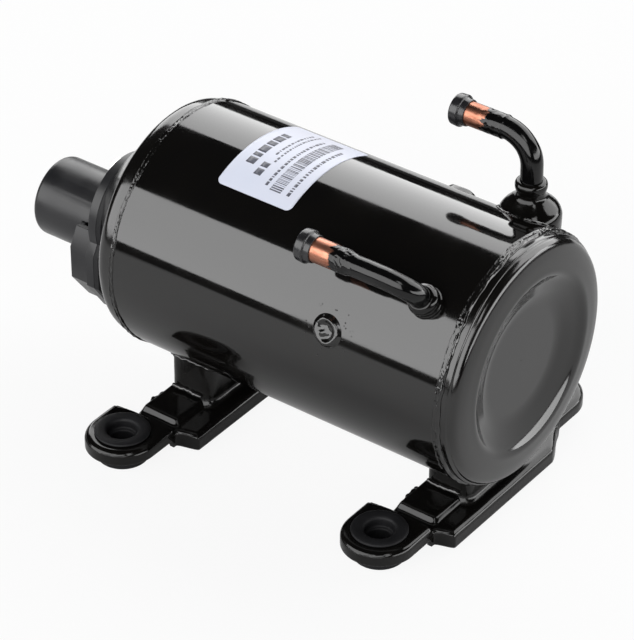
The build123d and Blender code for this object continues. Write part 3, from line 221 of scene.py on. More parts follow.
def relief(tree, shader, layers):
    """Bump from layers of (size mm, depth mm, stretch), each on top of the one before."""
    normal = None
    for size, depth, stretch in layers:
        bump = add(tree, "ShaderNodeBump", {"Strength": 1.0, "Distance": depth * MM})
        tree.links.new(pattern(tree, size, stretch=stretch), bump.inputs["Height"])
        if normal:
            tree.links.new(normal, bump.inputs["Normal"])
        normal = bump.outputs["Normal"]
    tree.links.new(normal, shader.inputs["Normal"])


def vary(tree, value, socket, low, high):
    """Drive a number from a pattern: low at the noise's usual least, high at its usual most."""
    spread = add(tree, "ShaderNodeMapRange", {
        "From Min": NOISE_LOW,
        "From Max": NOISE_HIGH,
        "To Min": low,
        "To Max": high,
    })
    tree.links.new(value, spread.inputs["Value"])
    tree.links.new(spread.outputs["Result"], socket)


def tint(tree, value, socket, first, second):
    """Drive a colour on the shader from a pattern, from the first colour to the second."""
    mix = add(tree, "ShaderNodeMix", {6: first, 7: second}, data_type="RGBA")
    tree.links.new(value, mix.inputs[0])
    tree.links.new(mix.outputs[2], socket)


def finish(name, colours, roughness, layers, metallic=0.0, ior=1.5, grain=(8.0, EVEN)):
    """A finish whose colour and roughness wander over patches, with its own relief. grain gives the
    patches' size in mm and their stretch."""
    material, tree, shader = new_material(name)
    shader.inputs["Metallic"].default_value = metallic
    shader.inputs["IOR"].default_value = ior
    patches = pattern(tree, grain[0], 3.0, grain[1])
    tint(tree, patches, shader.inputs["Base Color"], *colours)
    vary(tree, patches, shader.inputs["Roughness"], *roughness)
    relief(tree, shader, layers)
    return material


shell_enamel = finish(
    "shell_enamel", (ENAMEL_BLACK, ENAMEL_WARM), (0.05, 0.11),
    ((26.0, 0.030, EVEN), (1.6, 0.0022, EVEN)), ior=ENAMEL_IOR, grain=(22.0, EVEN),
)


def dress(name, material):
    """Give a carried-over node its finish in every slot."""
    data = node[name].data
    for slot_index in range(len(data.materials)):
        data.materials[slot_index] = material
    if not data.materials:
        data.materials.append(material)


dress("main_shell", shell_enamel)

# ---- weld beads ------------------------------------------------------------------------------
# Two beads of weld metal laid round the cap joints, each with a ridge along both edges and a
# pitted band between them, under the same enamel.
BEAD_SIDES = 30
BEAD_STEPS = 1500
BEAD_SINK = 0.6
BEAD_RIDGES = ((-0.62, 0.17, 1.0), (0.55, 0.20, 0.8))
FRONT_BEAD_BACK = 0.9
WAVES = 28
MERGE_WITHIN = 2e-7


def lumps(points, size, seed):
    """Smooth random height: a sum of sine waves of random direction, length near size and phase,
    over the root of their number, so that it is mostly between -1 and 1."""
    rng = np.random.default_rng(seed)
    direction = rng.normal(size=(WAVES, 3))
    direction /= np.linalg.norm(direction, axis=1, keepdims=True)
    length = size * rng.uniform(0.7, 1.7, WAVES)
    phase = rng.uniform(0, 2 * math.pi, WAVES)
    turns = points @ (direction / length[:, None]).T
    return np.sin(2 * math.pi * turns + phase).sum(-1) / math.sqrt(WAVES)


def build(name, grids, material, body="compressor", replaced=None, wall=0.0,
          reshape=None):
    """One piece from grids of points in mm, each (points, closed along rows, closed along columns).
    It stands for the CAD nodes in replaced, or for the one of its own name. reshape may change the
    points and the faces first. Doubles are merged, which closes seams and poles."""
    vertices, quads, start = [], [], 0
    for points, close_rows, close_columns in grids:
        rows, columns = points.shape[:2]
        index = start + np.arange(rows * columns).reshape(rows, columns)
        start += rows * columns
        if close_rows:
            index = np.vstack([index, index[:1]])
        if close_columns:
            index = np.hstack([index, index[:, :1]])
        corners = (index[:-1, :-1], index[1:, :-1], index[1:, 1:], index[:-1, 1:])
        quads.append(np.stack(corners, axis=-1).reshape(-1, 4))
        vertices.append(points.reshape(-1, 3))
    vertices, faces = np.vstack(vertices), np.vstack(quads)
    if reshape:
        vertices, faces = reshape(vertices, faces)
    mesh = bpy.data.meshes.new(name)
    mesh.from_pydata((vertices * MM).tolist(), [], faces.tolist())
    work = bmesh.new()
    work.from_mesh(mesh)
    bmesh.ops.remove_doubles(work, verts=work.verts, dist=MERGE_WITHIN)
    bmesh.ops.recalc_face_normals(work, faces=work.faces)
    work.to_mesh(mesh)
    work.free()
    mesh.shade_smooth()
    mesh.materials.append(material)
    piece = bpy.data.objects.new(name, mesh)
    bpy.context.scene.collection.objects.link(piece)
    if wall:
        solid = piece.modifiers.new("wall", "SOLIDIFY")
        solid.thickness = wall * MM
        solid.offset = -1
        solid.use_even_offset = True
    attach(piece, body)
    replaced = (name,) if replaced is None else replaced
    if replaced:
        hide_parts(*replaced)


bead_enamel = finish(
    "bead_enamel", (ENAMEL_BLACK, ENAMEL_WARM), (0.08, 0.20),
    ((1.5, 0.05, EVEN), (0.5, 0.02, EVEN)), ior=ENAMEL_IOR,
)


def weld_ring(name, middle_x, half_width, height, seed):
    """At v across the bead, -1 to 1, the lift is height * (crown / 2 + 0.55 * ridge) and a little
    of the lumps, with crown = (1 - v^2)^0.6 and ridge = sum of tall * exp(-((v - c) / w)^2)."""
    turn = np.linspace(0, 2 * math.pi, BEAD_STEPS, endpoint=False)[:, None]
    across = np.linspace(-1, 1, BEAD_SIDES)[None, :]
    spine = np.stack(np.broadcast_arrays(0 * turn, SHELL_R * np.cos(turn), SHELL_R * np.sin(turn)), -1)
    spine_all = np.repeat(spine, BEAD_SIDES, axis=1)
    spine_all[..., 0] = across * half_width
    rough = lumps(spine_all * (1, 0.3, 0.3), 1.5, seed)
    fine = lumps(spine_all * (1, 0.5, 0.5), 0.8, seed + 1)
    wander = lumps(spine, 19.0, seed + 2)
    width = half_width * (1 + 0.10 * lumps(spine, 6.0, seed + 3))
    ridge = sum(tall * np.exp(-(((across - c) / wide) ** 2)) for c, wide, tall in BEAD_RIDGES)
    crown = (1 - across**2) ** 0.6
    lift = height * (0.5 * crown + 0.55 * ridge * (1 + 0.25 * rough)) + crown * (0.07 * rough + 0.05 * fine)
    radius = SHELL_R - BEAD_SINK * np.abs(across) ** 6 + lift
    x = middle_x + across * width + 0.25 * wander
    points = np.stack(np.broadcast_arrays(x, radius * np.cos(turn), AXIS_Z + radius * np.sin(turn)), -1)
    under = points[:, ::-1].copy()[:, [0, -1]]
    under_radius = SHELL_R - 2 * BEAD_SINK
    under[..., 1] = under_radius * np.cos(turn)
    under[..., 2] = AXIS_Z + under_radius * np.sin(turn)
    ring = np.concatenate([points, under], axis=1)
    build(name, [(ring, True, True)], bead_enamel)


weld_ring("front_weld_bead", SHELL_FRONT_X - FRONT_BEAD_BACK, half_width=1.75, height=0.6, seed=11)
weld_ring("rear_weld_bead", SHELL_REAR_X, half_width=1.3, height=0.5, seed=21)

# ---- front cap -------------------------------------------------------------------------------
# Deep-drawn steel cap at the pump end: a rounded shoulder, a broad annular face and a shallow
# round dish with a soft rolled rim, in the same gloss enamel as the shell.
CAP_SEGMENTS = 288


def filleted(corners, step, closed=False):
    """A line through corners (x, y, r): each is cut back by r and rounded by a quadratic curve,
    (1-t)^2 a + 2t(1-t) corner + t^2 b, and the whole is then spaced evenly."""
    count = len(corners)
    spots = np.array([corner[:2] for corner in corners], float)
    t = np.linspace(0, 1, 9)[:, None]
    line = []
    for number, (x, y, r) in enumerate(corners):
        here = spots[number]
        if r == 0 or (not closed and number in (0, count - 1)):
            line.append(here[None])
            continue
        back = spots[number - 1] - here
        on = spots[(number + 1) % count] - here
        start = here + back * min(0.49, r / np.linalg.norm(back))
        end = here + on * min(0.49, r / np.linalg.norm(on))
        line.append((1 - t) ** 2 * start + 2 * t * (1 - t) * here + t**2 * end)
    line = np.vstack(line)
    if closed:
        line = np.vstack([line, line[:1]])
    gone = np.concatenate([[0], np.cumsum(np.linalg.norm(np.diff(line, axis=0), axis=1))])
    even = np.linspace(0, gone[-1], max(8, int(gone[-1] / step)))
    if closed:
        even = even[:-1]
    return np.stack([np.interp(even, gone, line[:, 0]), np.interp(even, gone, line[:, 1])], -1)


def turned(profile, origin, axis, segments, swell=None):
    """Carry a profile of (distance along the axis, radius) round the axis from its origin. swell
    gives a height to add to the radius where each point lies, less and less within 2 mm of the axis."""
    axis = np.array(axis, float)
    side = np.cross(axis, (0, 0, 1) if abs(axis[2]) < 0.9 else (1, 0, 0))
    side /= np.linalg.norm(side)
    other = np.cross(axis, side)
    turn = np.linspace(0, 2 * math.pi, segments, endpoint=False)[None, :, None]
    outward = np.cos(turn) * side + np.sin(turn) * other
    spine = np.array(origin) + profile[:, None, :1] * axis
    points = spine + profile[:, None, 1:] * outward
    if swell is not None:
        fade = np.minimum(1, profile[:, None, 1:] / 2)
        points = points + outward * fade * swell(points)[..., None]
    return points


front_profile = filleted((
    (-1.0, SHELL_R - 3.4, 0), (-1.0, SHELL_R - 0.6, 0.4), (3.0, SHELL_R - 0.6, 0.35),
    (3.4, SHELL_R - 1.7, 0.4), (3.9, SHELL_R - 1.5, 0.4), (5.9, SHELL_R - 2.9, 3.0),
    (7.0, 43.6, 1.8), (7.8, 36.9, 1.6), (5.9, 34.0, 1.6), (2.6, 24.5, 3.0), (2.6, 0.0, 0),
    (0.2, 0.0, 0), (0.4, 23.0, 2.5), (4.1, 37.0, 2.5), (2.4, 44.5, 2.0), (-1.0, SHELL_R - 3.4, 0),
), 0.45)
cap_enamel = finish(
    "cap_enamel", (ENAMEL_BLACK, ENAMEL_WARM), (0.10, 0.17),
    ((18.0, 0.035, EVEN), (1.4, 0.003, EVEN)), ior=ENAMEL_IOR, grain=(20.0, EVEN),
)


def press_marks(points):
    """Faint hollows of pressed sheet, with a finer grain on the shoulder."""
    radius = np.hypot(points[..., 1], points[..., 2] - AXIS_Z)
    shoulder = np.clip((radius - 43.0) / 6.0, 0, 1)
    return 0.03 * lumps(points, 16.0, 31) + 0.015 * shoulder * lumps(points, 2.6, 32)


front_skin = turned(front_profile, (SHELL_FRONT_X, 0, AXIS_Z), (1, 0, 0), CAP_SEGMENTS, press_marks)
build("front_end_cap", [(front_skin, False, True)], cap_enamel)

# ---- rear cap --------------------------------------------------------------------------------
# Deep-drawn cap at the terminal end: a short rounded shoulder, a cone and a small flat pad that
# the terminal cover stands on.
PAD_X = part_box("rear_end_cap")[0].x / MM
REAR_DEPTH = SHELL_REAR_X - PAD_X
rear_profile = filleted((
    (-1.0, SHELL_R - 3.4, 0), (-1.0, SHELL_R - 0.4, 0.5), (7.6, SHELL_R - 0.9, 3.4),
    (11.2, 43.2, 4.0), (24.4, 27.2, 4.0), (REAR_DEPTH - 0.4, 22.6, 1.2), (REAR_DEPTH - 0.4, 0.0, 0),
    (REAR_DEPTH - 3.0, 0.0, 0), (REAR_DEPTH - 3.0, 20.5, 1.2), (22.0, 25.0, 3.0),
    (8.4, 41.0, 3.0), (-1.0, SHELL_R - 3.4, 0),
), 0.7)
rear_skin = turned(rear_profile, (SHELL_REAR_X, 0, AXIS_Z), (-1, 0, 0), CAP_SEGMENTS, press_marks)
build("rear_end_cap", [(rear_skin, False, True)], cap_enamel)

# ---- plug welds ------------------------------------------------------------------------------
# Three weld nuggets through the shell wall that hold the pump inside. Each is a broad smooth
# mound with a raised ring and an off-centre bead in it, with fine spatter round about.
PLUG_R = 7.0
plug_low, plug_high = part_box("plug_welds")
PLUG_X = (plug_low.x + plug_high.x) / 2 / MM
PLUG_ANGLES = (70.0, 190.0, 310.0)
SPATTER_COUNT = 26
SPATTER_REACH = (7.2, 11.5)
SPATTER_R = (0.12, 0.34)
SPATTER_SINK = 0.05


def on_shell(along, arc, height, angle):
    """A point on the shell: along X and round by arc mm from an angle from +Z toward -Y."""
    turn = math.radians(angle) + arc / SHELL_R
    radius = SHELL_R + height
    return np.stack(np.broadcast_arrays(along, -radius * np.sin(turn), AXIS_Z + radius * np.cos(turn)), -1)


def nugget(angle, number):
    """At share u out from the middle the height is (ring + bead + 0.5 + grain)(1 - u^6) - 0.45 u^8,
    with ring = 1.5 exp(-((u - 0.66) / 0.2)^2) and the bead a bell beside the middle."""
    out = np.linspace(0, 1, 56)[:, None]
    turn = np.linspace(0, 2 * math.pi, 150, endpoint=False)[None, :]
    edge = PLUG_R * (1 + 0.03 * np.sin(2 * turn + number))
    along, arc = out * edge * np.cos(turn), out * edge * np.sin(turn)
    flat = np.stack(np.broadcast_arrays(along, arc, 0 * along), -1)
    ring = 1.5 * np.exp(-(((out - 0.66) / 0.20) ** 2)) * (1 + 0.16 * lumps(flat, 6.0, 41 + number))
    bead = 1.2 * np.exp(-(((along + 1.3) ** 2 + (arc - 1.1) ** 2) / 2.2))
    grain = 0.05 * lumps(flat, 2.2, 51 + number) + 0.015 * lumps(flat, 0.9, 55 + number)
    height = (ring + bead + 0.5 + grain) * (1 - out**6) - 0.45 * out**8
    return on_shell(PLUG_X + along, arc, height, angle), False, True


def spatter(angle, rng):
    """One half ball of spatter at a random distance and direction from the nugget."""
    far = rng.uniform(*SPATTER_REACH)
    way = rng.uniform(0, 2 * math.pi)
    size = rng.uniform(*SPATTER_R)
    rise = np.linspace(0, math.pi / 2, 4)[:, None]
    turn = np.linspace(0, 2 * math.pi, 8, endpoint=False)[None, :]
    along = PLUG_X + far * math.cos(way) + size * np.cos(rise) * np.cos(turn)
    arc = far * math.sin(way) + size * np.cos(rise) * np.sin(turn)
    height = size * np.sin(rise) + 0 * turn - SPATTER_SINK
    return on_shell(along, arc, height, angle), False, True


plug_grids = []
spatter_grids = []
for number, plug_angle in enumerate(PLUG_ANGLES):
    plug_grids.append(nugget(plug_angle, number))
    rng = np.random.default_rng(61 + number)
    spatter_grids += [spatter(plug_angle, rng) for _ in range(SPATTER_COUNT)]
build("plug_welds", plug_grids, cap_enamel)
build("weld_spatter", spatter_grids, bead_enamel, replaced=())

# ---- foot plates -----------------------------------------------------------------------------
# Each foot is one pressing of thick sheet: two raised round lobes for the grommets, a lower
# middle with ears that the saddle is welded to, and edges rolled down into a skirt.
SHEET = 2.6
ROLL_R = 2.8
LOBE_R = 15.0
LOBE_NECK = 13.5
LOBE_TOP = 11.6
LOBE_SKIRT = 5.8
PLATE_TOP = 9.1
PLATE_SKIRT = 2.2
PLATE_BACK = 6.0
EAR_RISE = 2.6
SADDLE_INSET = 34.9
HOLE_R = 8.6
PLATE_STEP = 0.55
PLATE_COLUMNS = 64
SKIRT_STEPS = 6
OUTLINE_BLOCK = 64
MOUNTS = {mount["name"]: mount for mount in frame["record"]["mounts"]}
foot_enamel = finish(
    "foot_enamel", (ENAMEL_BLACK, ENAMEL_WARM), (0.07, 0.17),
    ((9.0, 0.045, EVEN), (1.5, 0.008, EVEN)), ior=THIN_ENAMEL_IOR,
)


def ease(low, high, value):
    """0 below low, 1 above high, and 3t^2 - 2t^3 between."""
    t = np.clip((value - low) / (high - low), 0, 1)
    return t * t * (3 - 2 * t)


def distance_to(outline, flat):
    """Distance from each plan point to the nearest point of the outline, a block of it at a time."""
    gap = np.full(flat.shape[:2], np.inf)
    for start in range(0, len(outline), OUTLINE_BLOCK):
        block = outline[start:start + OUTLINE_BLOCK]
        gap = np.minimum(gap, np.linalg.norm(flat[:, :, None] - block, axis=-1).min(-1))
    return gap


def edge_codes(faces, count):
    """Each face's four edges as one whole number apiece, low vertex * count + high vertex."""
    ends = np.sort(np.stack([faces, np.roll(faces, -1, axis=1)], axis=-1), axis=-1)
    return ends[..., 0] * count + ends[..., 1]


def foot_plate(name, mount_name):
    """Sections across X at each y, from the outline's left edge to its right edge. The top is a
    level for lobe, middle and ears, less the roll r - sqrt(r^2 - (r - d)^2) at d from the outline,
    and the rim then drops to the skirt."""
    mount = MOUNTS[mount_name]
    x0 = mount["pos_m"][0] / MM
    track = mount["dims"]["spacing_y_mm"] / 2
    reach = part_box(name)[1].x / MM - x0
    wall_y = track - SADDLE_INSET
    middle = np.arange(-track, track + 0.01, PLATE_STEP)
    end = track + LOBE_R * np.sin(np.linspace(0, math.pi / 2, 40)[1:])
    y = np.concatenate([-end[::-1], middle, end])[:, None]
    side = np.abs(y)
    round_end = np.sqrt(np.clip(LOBE_R**2 - np.clip(side - track, 0, None) ** 2, 0, None))
    in_lobe = ease(track - LOBE_NECK - 1.8, track - LOBE_NECK + 1.6, side)
    left = x0 - (PLATE_BACK + (LOBE_R - PLATE_BACK) * in_lobe)
    near_right = x0 + reach + (LOBE_R - reach) * ease(track - 18.0, track - 14.6, side)
    taper = np.clip((side - (track - 28.5)) / 16.0, 0, 1)
    far_right = x0 + reach + (LOBE_R - reach) * (0.5 * taper + 0.5 * ease(0, 1, taper))
    right = np.where(y < 0, near_right, far_right)
    left = np.where(side > track, x0 - round_end, left)
    right = np.where(side > track, x0 + round_end, right)
    inset = np.sin(np.linspace(-math.pi / 2, math.pi / 2, PLATE_COLUMNS))[None, :]
    x = (left + right) / 2 + inset * (right - left) / 2
    outline = np.vstack([np.hstack([left, y]), np.hstack([right, y])])
    gap = distance_to(outline, np.stack(np.broadcast_arrays(x, y), -1))
    ridge = ease(track - LOBE_NECK - 1.2, track - LOBE_NECK + 0.8, side)
    ear_y = ease(wall_y - 3.0, wall_y - 1.0, side) * (1 - ease(track - 19.5, track - 16.2, side))
    ear_x = ease(x0 - 6.0, x0 - 3.4, x) * (1 - ease(x0 + 11.5, x0 + 14.5, x))
    top = PLATE_TOP + (LOBE_TOP - PLATE_TOP) * ridge + EAR_RISE * ear_y * ear_x
    inside = ROLL_R - np.clip(gap, 0, ROLL_R)
    z = top - ROLL_R + np.sqrt(ROLL_R**2 - inside**2)
    z = z + 0.05 * lumps(np.stack(np.broadcast_arrays(x, y, z), -1), 12.0, 71)
    skirt_z = LOBE_SKIRT + (PLATE_SKIRT - LOBE_SKIRT) * (1 - ease(track - 13.2, track - 12.2, side))
    surface = np.stack(np.broadcast_arrays(x, y, z), -1)
    falls = np.linspace(0, 1, SKIRT_STEPS + 1)[None, 1:]

    def rim(edge_x, edge_z):
        """The skirt below one edge of the top, as more columns."""
        down = edge_z + (skirt_z - edge_z) * falls
        return np.stack(np.broadcast_arrays(edge_x, y, down), -1)

    left_rim = rim(x[:, :1], z[:, :1])[:, ::-1]
    right_rim = rim(x[:, -1:], z[:, -1:])
    hollow = skirt_z + (top - SHEET - skirt_z) * ease(SHEET - 0.5, SHEET + 0.5, gap)
    under = np.stack(np.broadcast_arrays(x, y, np.minimum(hollow, z - 0.1)), -1)[:, ::-1][:, 1:-1]
    points = np.concatenate([left_rim, surface, right_rim, under], axis=1)

    def open_holes(vertices, faces):
        """Clear both skins inside each grommet's neck, round the rims and join them by a wall. Of
        n columns with a skirt of k steps, column c of the top lies over column n + k - c."""
        count, columns = len(vertices), points.shape[1]
        row, column = np.divmod(np.arange(count), columns)
        below = row * columns + (columns + SKIRT_STEPS - column) % columns
        for sign in (-1, 1):
            centre = np.array((x0, sign * track))
            inside = np.linalg.norm(vertices[faces, :2].mean(1) - centre, axis=-1) < HOLE_R
            rim = np.intersect1d(edge_codes(faces[inside], count), edge_codes(faces[~inside], count))
            first, last = np.divmod(rim, count)
            moved = np.unique([first, last])
            away = vertices[moved, :2] - centre
            vertices[moved, :2] = centre + away * HOLE_R / np.linalg.norm(away, axis=1, keepdims=True)
            on_top = column[first] < SKIRT_STEPS + PLATE_COLUMNS
            first, last = first[on_top], last[on_top]
            wall = np.stack([first, last, below[last], below[first]], axis=-1)
            faces = np.vstack([faces[~inside], wall])
        return vertices, faces

    build(name, [(points, False, True)], foot_enamel, reshape=open_holes)
    return x0, track, wall_y


feet = []
for end_name in ("front", "rear"):
    feet.append((end_name, *foot_plate(f"{end_name}_foot_plate", f"{end_name}_feet_bolts")))

# ---- saddles ---------------------------------------------------------------------------------
# A boxed saddle of bent strip on each foot carries the shell. Its walls flare out at the bottom,
# the shell sits in its curved top edge, and rough weld runs join it below and above.
SADDLE_BACK = 4.0
SADDLE_REACH = 16.0
SADDLE_CORNER = 5.0
FLARE_R = 3.4
BACK_FLARE_SHARE = 0.4
SEAM_WELD_R = 0.95
EAR_WELD_R = 1.2
SHELL_WELD_R = 0.62
saddle_enamel = finish(
    "saddle_enamel", (ENAMEL_BLACK, ENAMEL_WARM), (0.12, 0.28),
    ((0.8, 0.03, (1, 1, 16)), (2.5, 0.02, EVEN)), ior=THIN_ENAMEL_IOR,
)


def belly_z(y):
    """Height of the shell's underside above the floor at y."""
    return AXIS_Z - np.sqrt(SHELL_R**2 - np.clip(y, -SHELL_R + 1, SHELL_R - 1) ** 2)


def loop_frame(corners, step):
    """A closed plan line with its outward direction at each point."""
    line = filleted(corners, step, closed=True)
    along = np.roll(line, -1, axis=0) - np.roll(line, 1, axis=0)
    along /= np.linalg.norm(along, axis=1, keepdims=True)
    return line, np.stack([along[:, 1], -along[:, 0]], -1)


def weld_run(path, radius, seed, taper=True):
    """A lumpy run of weld: a circle round the path, its radius times (1 + lumps) and, with taper,
    drawn to a point at both ends."""
    path = np.array(path, float)
    gone = np.concatenate([[0], np.cumsum(np.linalg.norm(np.diff(path, axis=0), axis=1))])
    count = max(12, int(gone[-1] / 0.3))
    even = np.linspace(0, gone[-1], count)
    spine = np.stack([np.interp(even, gone, path[:, axis]) for axis in range(3)], -1)
    spine = spine + 0.25 * np.stack([lumps(spine, 4.0, seed + axis) for axis in range(3)], -1)
    along = np.gradient(spine, axis=0)
    along /= np.linalg.norm(along, axis=1, keepdims=True)
    side = np.cross(along, (0.2, 0.3, 1.0))
    side /= np.linalg.norm(side, axis=1, keepdims=True)
    other = np.cross(along, side)
    turn = np.linspace(0, 2 * math.pi, 14, endpoint=False)[None, :, None]
    ends = np.sqrt(np.clip(1 - np.linspace(-1, 1, count) ** 8, 0, 1)) if taper else np.ones(count)
    outward = np.cos(turn) * side[:, None] + np.sin(turn) * other[:, None]
    ring = spine[:, None] + radius * outward
    size = radius * (1 + 0.16 * lumps(ring, 2.4, seed + 5) + 0.08 * lumps(ring, 0.9, seed + 6))
    return spine[:, None] + (size * ends[:, None])[..., None] * outward, False, True


for end_name, x0, track, wall_y in feet:
    back, front = x0 - SADDLE_BACK, x0 + SADDLE_REACH
    corners = ((back, -wall_y, SADDLE_CORNER), (front, -wall_y, SADDLE_CORNER),
               (front, wall_y, SADDLE_CORNER), (back, wall_y, SADDLE_CORNER))
    plan, outward = loop_frame(corners, 0.5)
    top_z = belly_z(plan[:, 1]) + 0.7
    flare = np.where(outward[:, 0] < -0.5, BACK_FLARE_SHARE, 1.0) * FLARE_R
    angle = np.linspace(0, math.pi / 2, 9)[:, None]
    spread = np.vstack([flare * (1 - np.sin(angle)), np.zeros((24, 1)) * flare])
    low_z = PLATE_TOP - 0.3 + FLARE_R * (1 - np.cos(angle)) + 0 * flare
    climb = np.linspace(0, 1, 25)[1:, None]
    high_z = low_z[-1:] + (top_z - low_z[-1:]) * climb
    height = np.vstack([low_z, high_z])
    outer = plan[None] + outward[None] * spread[..., None]
    outer = np.concatenate([outer, height[..., None]], axis=-1)
    inner = plan[None] - outward[None] * SHEET + 0 * spread[..., None]
    inner = np.concatenate([inner, height[..., None]], axis=-1)[::-1]
    wall = np.concatenate([outer, inner], axis=0)
    wall[..., :2] += 0.05 * lumps(wall, 10.0, 81)[..., None] * outward
    build(f"{end_name}_foot_saddle", [(wall, True, True)], saddle_enamel)
    runs = []
    for sign in (-1, 1):
        seam_y = sign * (wall_y + 0.7)
        seam_z = PLATE_TOP + EAR_RISE + 1.5
        seam = ((back + 1.5, seam_y, seam_z + 0.3), (front - 3.5, seam_y, seam_z))
        runs.append(weld_run(seam, SEAM_WELD_R, 91 + sign))
        ear_start, ear_end = sign * (wall_y + 3.0), sign * (wall_y + 12.5)
        ear = ((x0 - 4.2, ear_start, PLATE_TOP + 0.9), (x0 - 4.3, ear_end, PLATE_TOP + 0.7))
        runs.append(weld_run(ear, EAR_WELD_R, 95 + sign))
    saddle_top = np.column_stack([plan + 0.3 * outward, top_z - 0.9])
    runs.append(weld_run(np.vstack([saddle_top, saddle_top[:1]]), SHELL_WELD_R, 99, taper=False))
    build(f"{end_name}_saddle_welds", runs, bead_enamel, replaced=())

# ---- grommets --------------------------------------------------------------------------------
# Moulded rubber grommets, one pressed into each lobe: a flat head with a stepped bore for the
# bolt, a neck through the sheet and a body that stands on the floor.
rubber = finish(
    "moulded_rubber", ((0.0035, 0.0035, 0.004, 1), (0.006, 0.006, 0.007, 1)), (0.50, 0.66),
    ((6.0, 0.03, EVEN), (0.35, 0.006, EVEN)), ior=1.3, grain=(7.0, EVEN),
)
GROMMET_TOP = 13.1
grommet_profile = filleted((
    (0.0, 4.5, 0.3), (0.0, 9.9, 0.9), (1.4, 11.1, 1.2), (7.7, 11.2, 0.6), (8.4, 10.6, 0.5), (8.6, 8.2, 0.3),
    (11.75, 8.2, 0.3), (11.75, 10.9, 0.4), (12.1, 11.2, 0.5), (12.8, 11.0, 0.8), (GROMMET_TOP, 9.4, 1.2),
    (GROMMET_TOP - 0.25, 6.9, 0.6), (GROMMET_TOP - 0.9, 6.1, 0.7), (8.8, 5.9, 0.6), (8.5, 4.6, 0.5),
), 0.35, closed=True)
for end_name, x0, track, wall_y in feet:
    for side_name, sign in (("left", -1), ("right", 1)):
        ring = turned(grommet_profile, (x0, sign * track, 0), (0, 0, 1), 120)
        build(f"grommet_{end_name}_{side_name}", [(ring, True, True)], rubber)

# ---- suction boss and pipe -------------------------------------------------------------------
# A bell-shaped steel boss brazed on the shell with a short sleeve, and a copper tube that rises
# through it and bends level. Its end is left bare of paint for the joint.
boss_low, boss_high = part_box("suction_boss")
BOSS_X = (boss_low.x + boss_high.x) / 2 / MM
BOSS_R = (boss_high.x - boss_low.x) / 2 / MM
pipe_low, pipe_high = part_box("suction_pipe")
TUBE_R = (pipe_high.y - pipe_low.y) / 2 / MM
PIPE_Y = (pipe_low.y + pipe_high.y) / 2 / MM
PIPE_TOP = pipe_high.z / MM - TUBE_R
SUCTION_MOUTH = pipe_low.x / MM
SUCTION_BEND = 12.5
SUCTION_BARE = 12.6
TUBE_WALL = 0.8
PAINT_EDGE = 0.0003
BRAZE_R = 0.55
SLEEVE_TOP = boss_high.z / MM
boss_profile = filleted((
    (AXIS_Z + 16.0, TUBE_R - 0.3, 0), (AXIS_Z + 16.0, BOSS_R - 0.8, 0.5),
    (AXIS_Z + 38.0, BOSS_R - 0.1, 3.0), (AXIS_Z + 44.0, BOSS_R + 0.1, 3.4),
    (AXIS_Z + 48.3, 7.6, 2.4), (AXIS_Z + 50.0, 5.9, 1.4),
    (SLEEVE_TOP - 4.4, 5.75, 1.2), (SLEEVE_TOP - 2.9, 6.3, 1.0), (SLEEVE_TOP - 0.9, 6.2, 1.0),
    (SLEEVE_TOP, 5.2, 0.6), (SLEEVE_TOP, TUBE_R - 0.3, 0),
), 0.4)
boss_enamel = finish(
    "boss_enamel", (ENAMEL_BLACK, ENAMEL_WARM), (0.07, 0.16),
    ((7.0, 0.03, EVEN), (1.2, 0.004, EVEN)), ior=THIN_ENAMEL_IOR,
)


def braze_lumps(points):
    """Low swellings where braze metal and paint gathered."""
    return 0.06 * lumps(points, 7.0, 111) + 0.02 * lumps(points, 2.0, 112)


boss_skin = turned(boss_profile, (BOSS_X, PIPE_Y, 0), (0, 0, 1), 160, braze_lumps)
build("suction_boss", [(boss_skin, False, True)], boss_enamel)
foot_turn = np.linspace(0, 2 * math.pi, 181)
foot_x = BOSS_X + (BOSS_R + 0.1) * np.cos(foot_turn)
foot_y = np.clip(PIPE_Y + (BOSS_R + 0.1) * np.sin(foot_turn), None, SHELL_R - 2.0)
foot_z = AXIS_Z + np.sqrt(SHELL_R**2 - foot_y**2)
foot_run = weld_run(np.stack([foot_x, foot_y, foot_z - 0.1], -1), BRAZE_R, 121, taper=False)
build("suction_boss_braze", [foot_run], bead_enamel, replaced=())


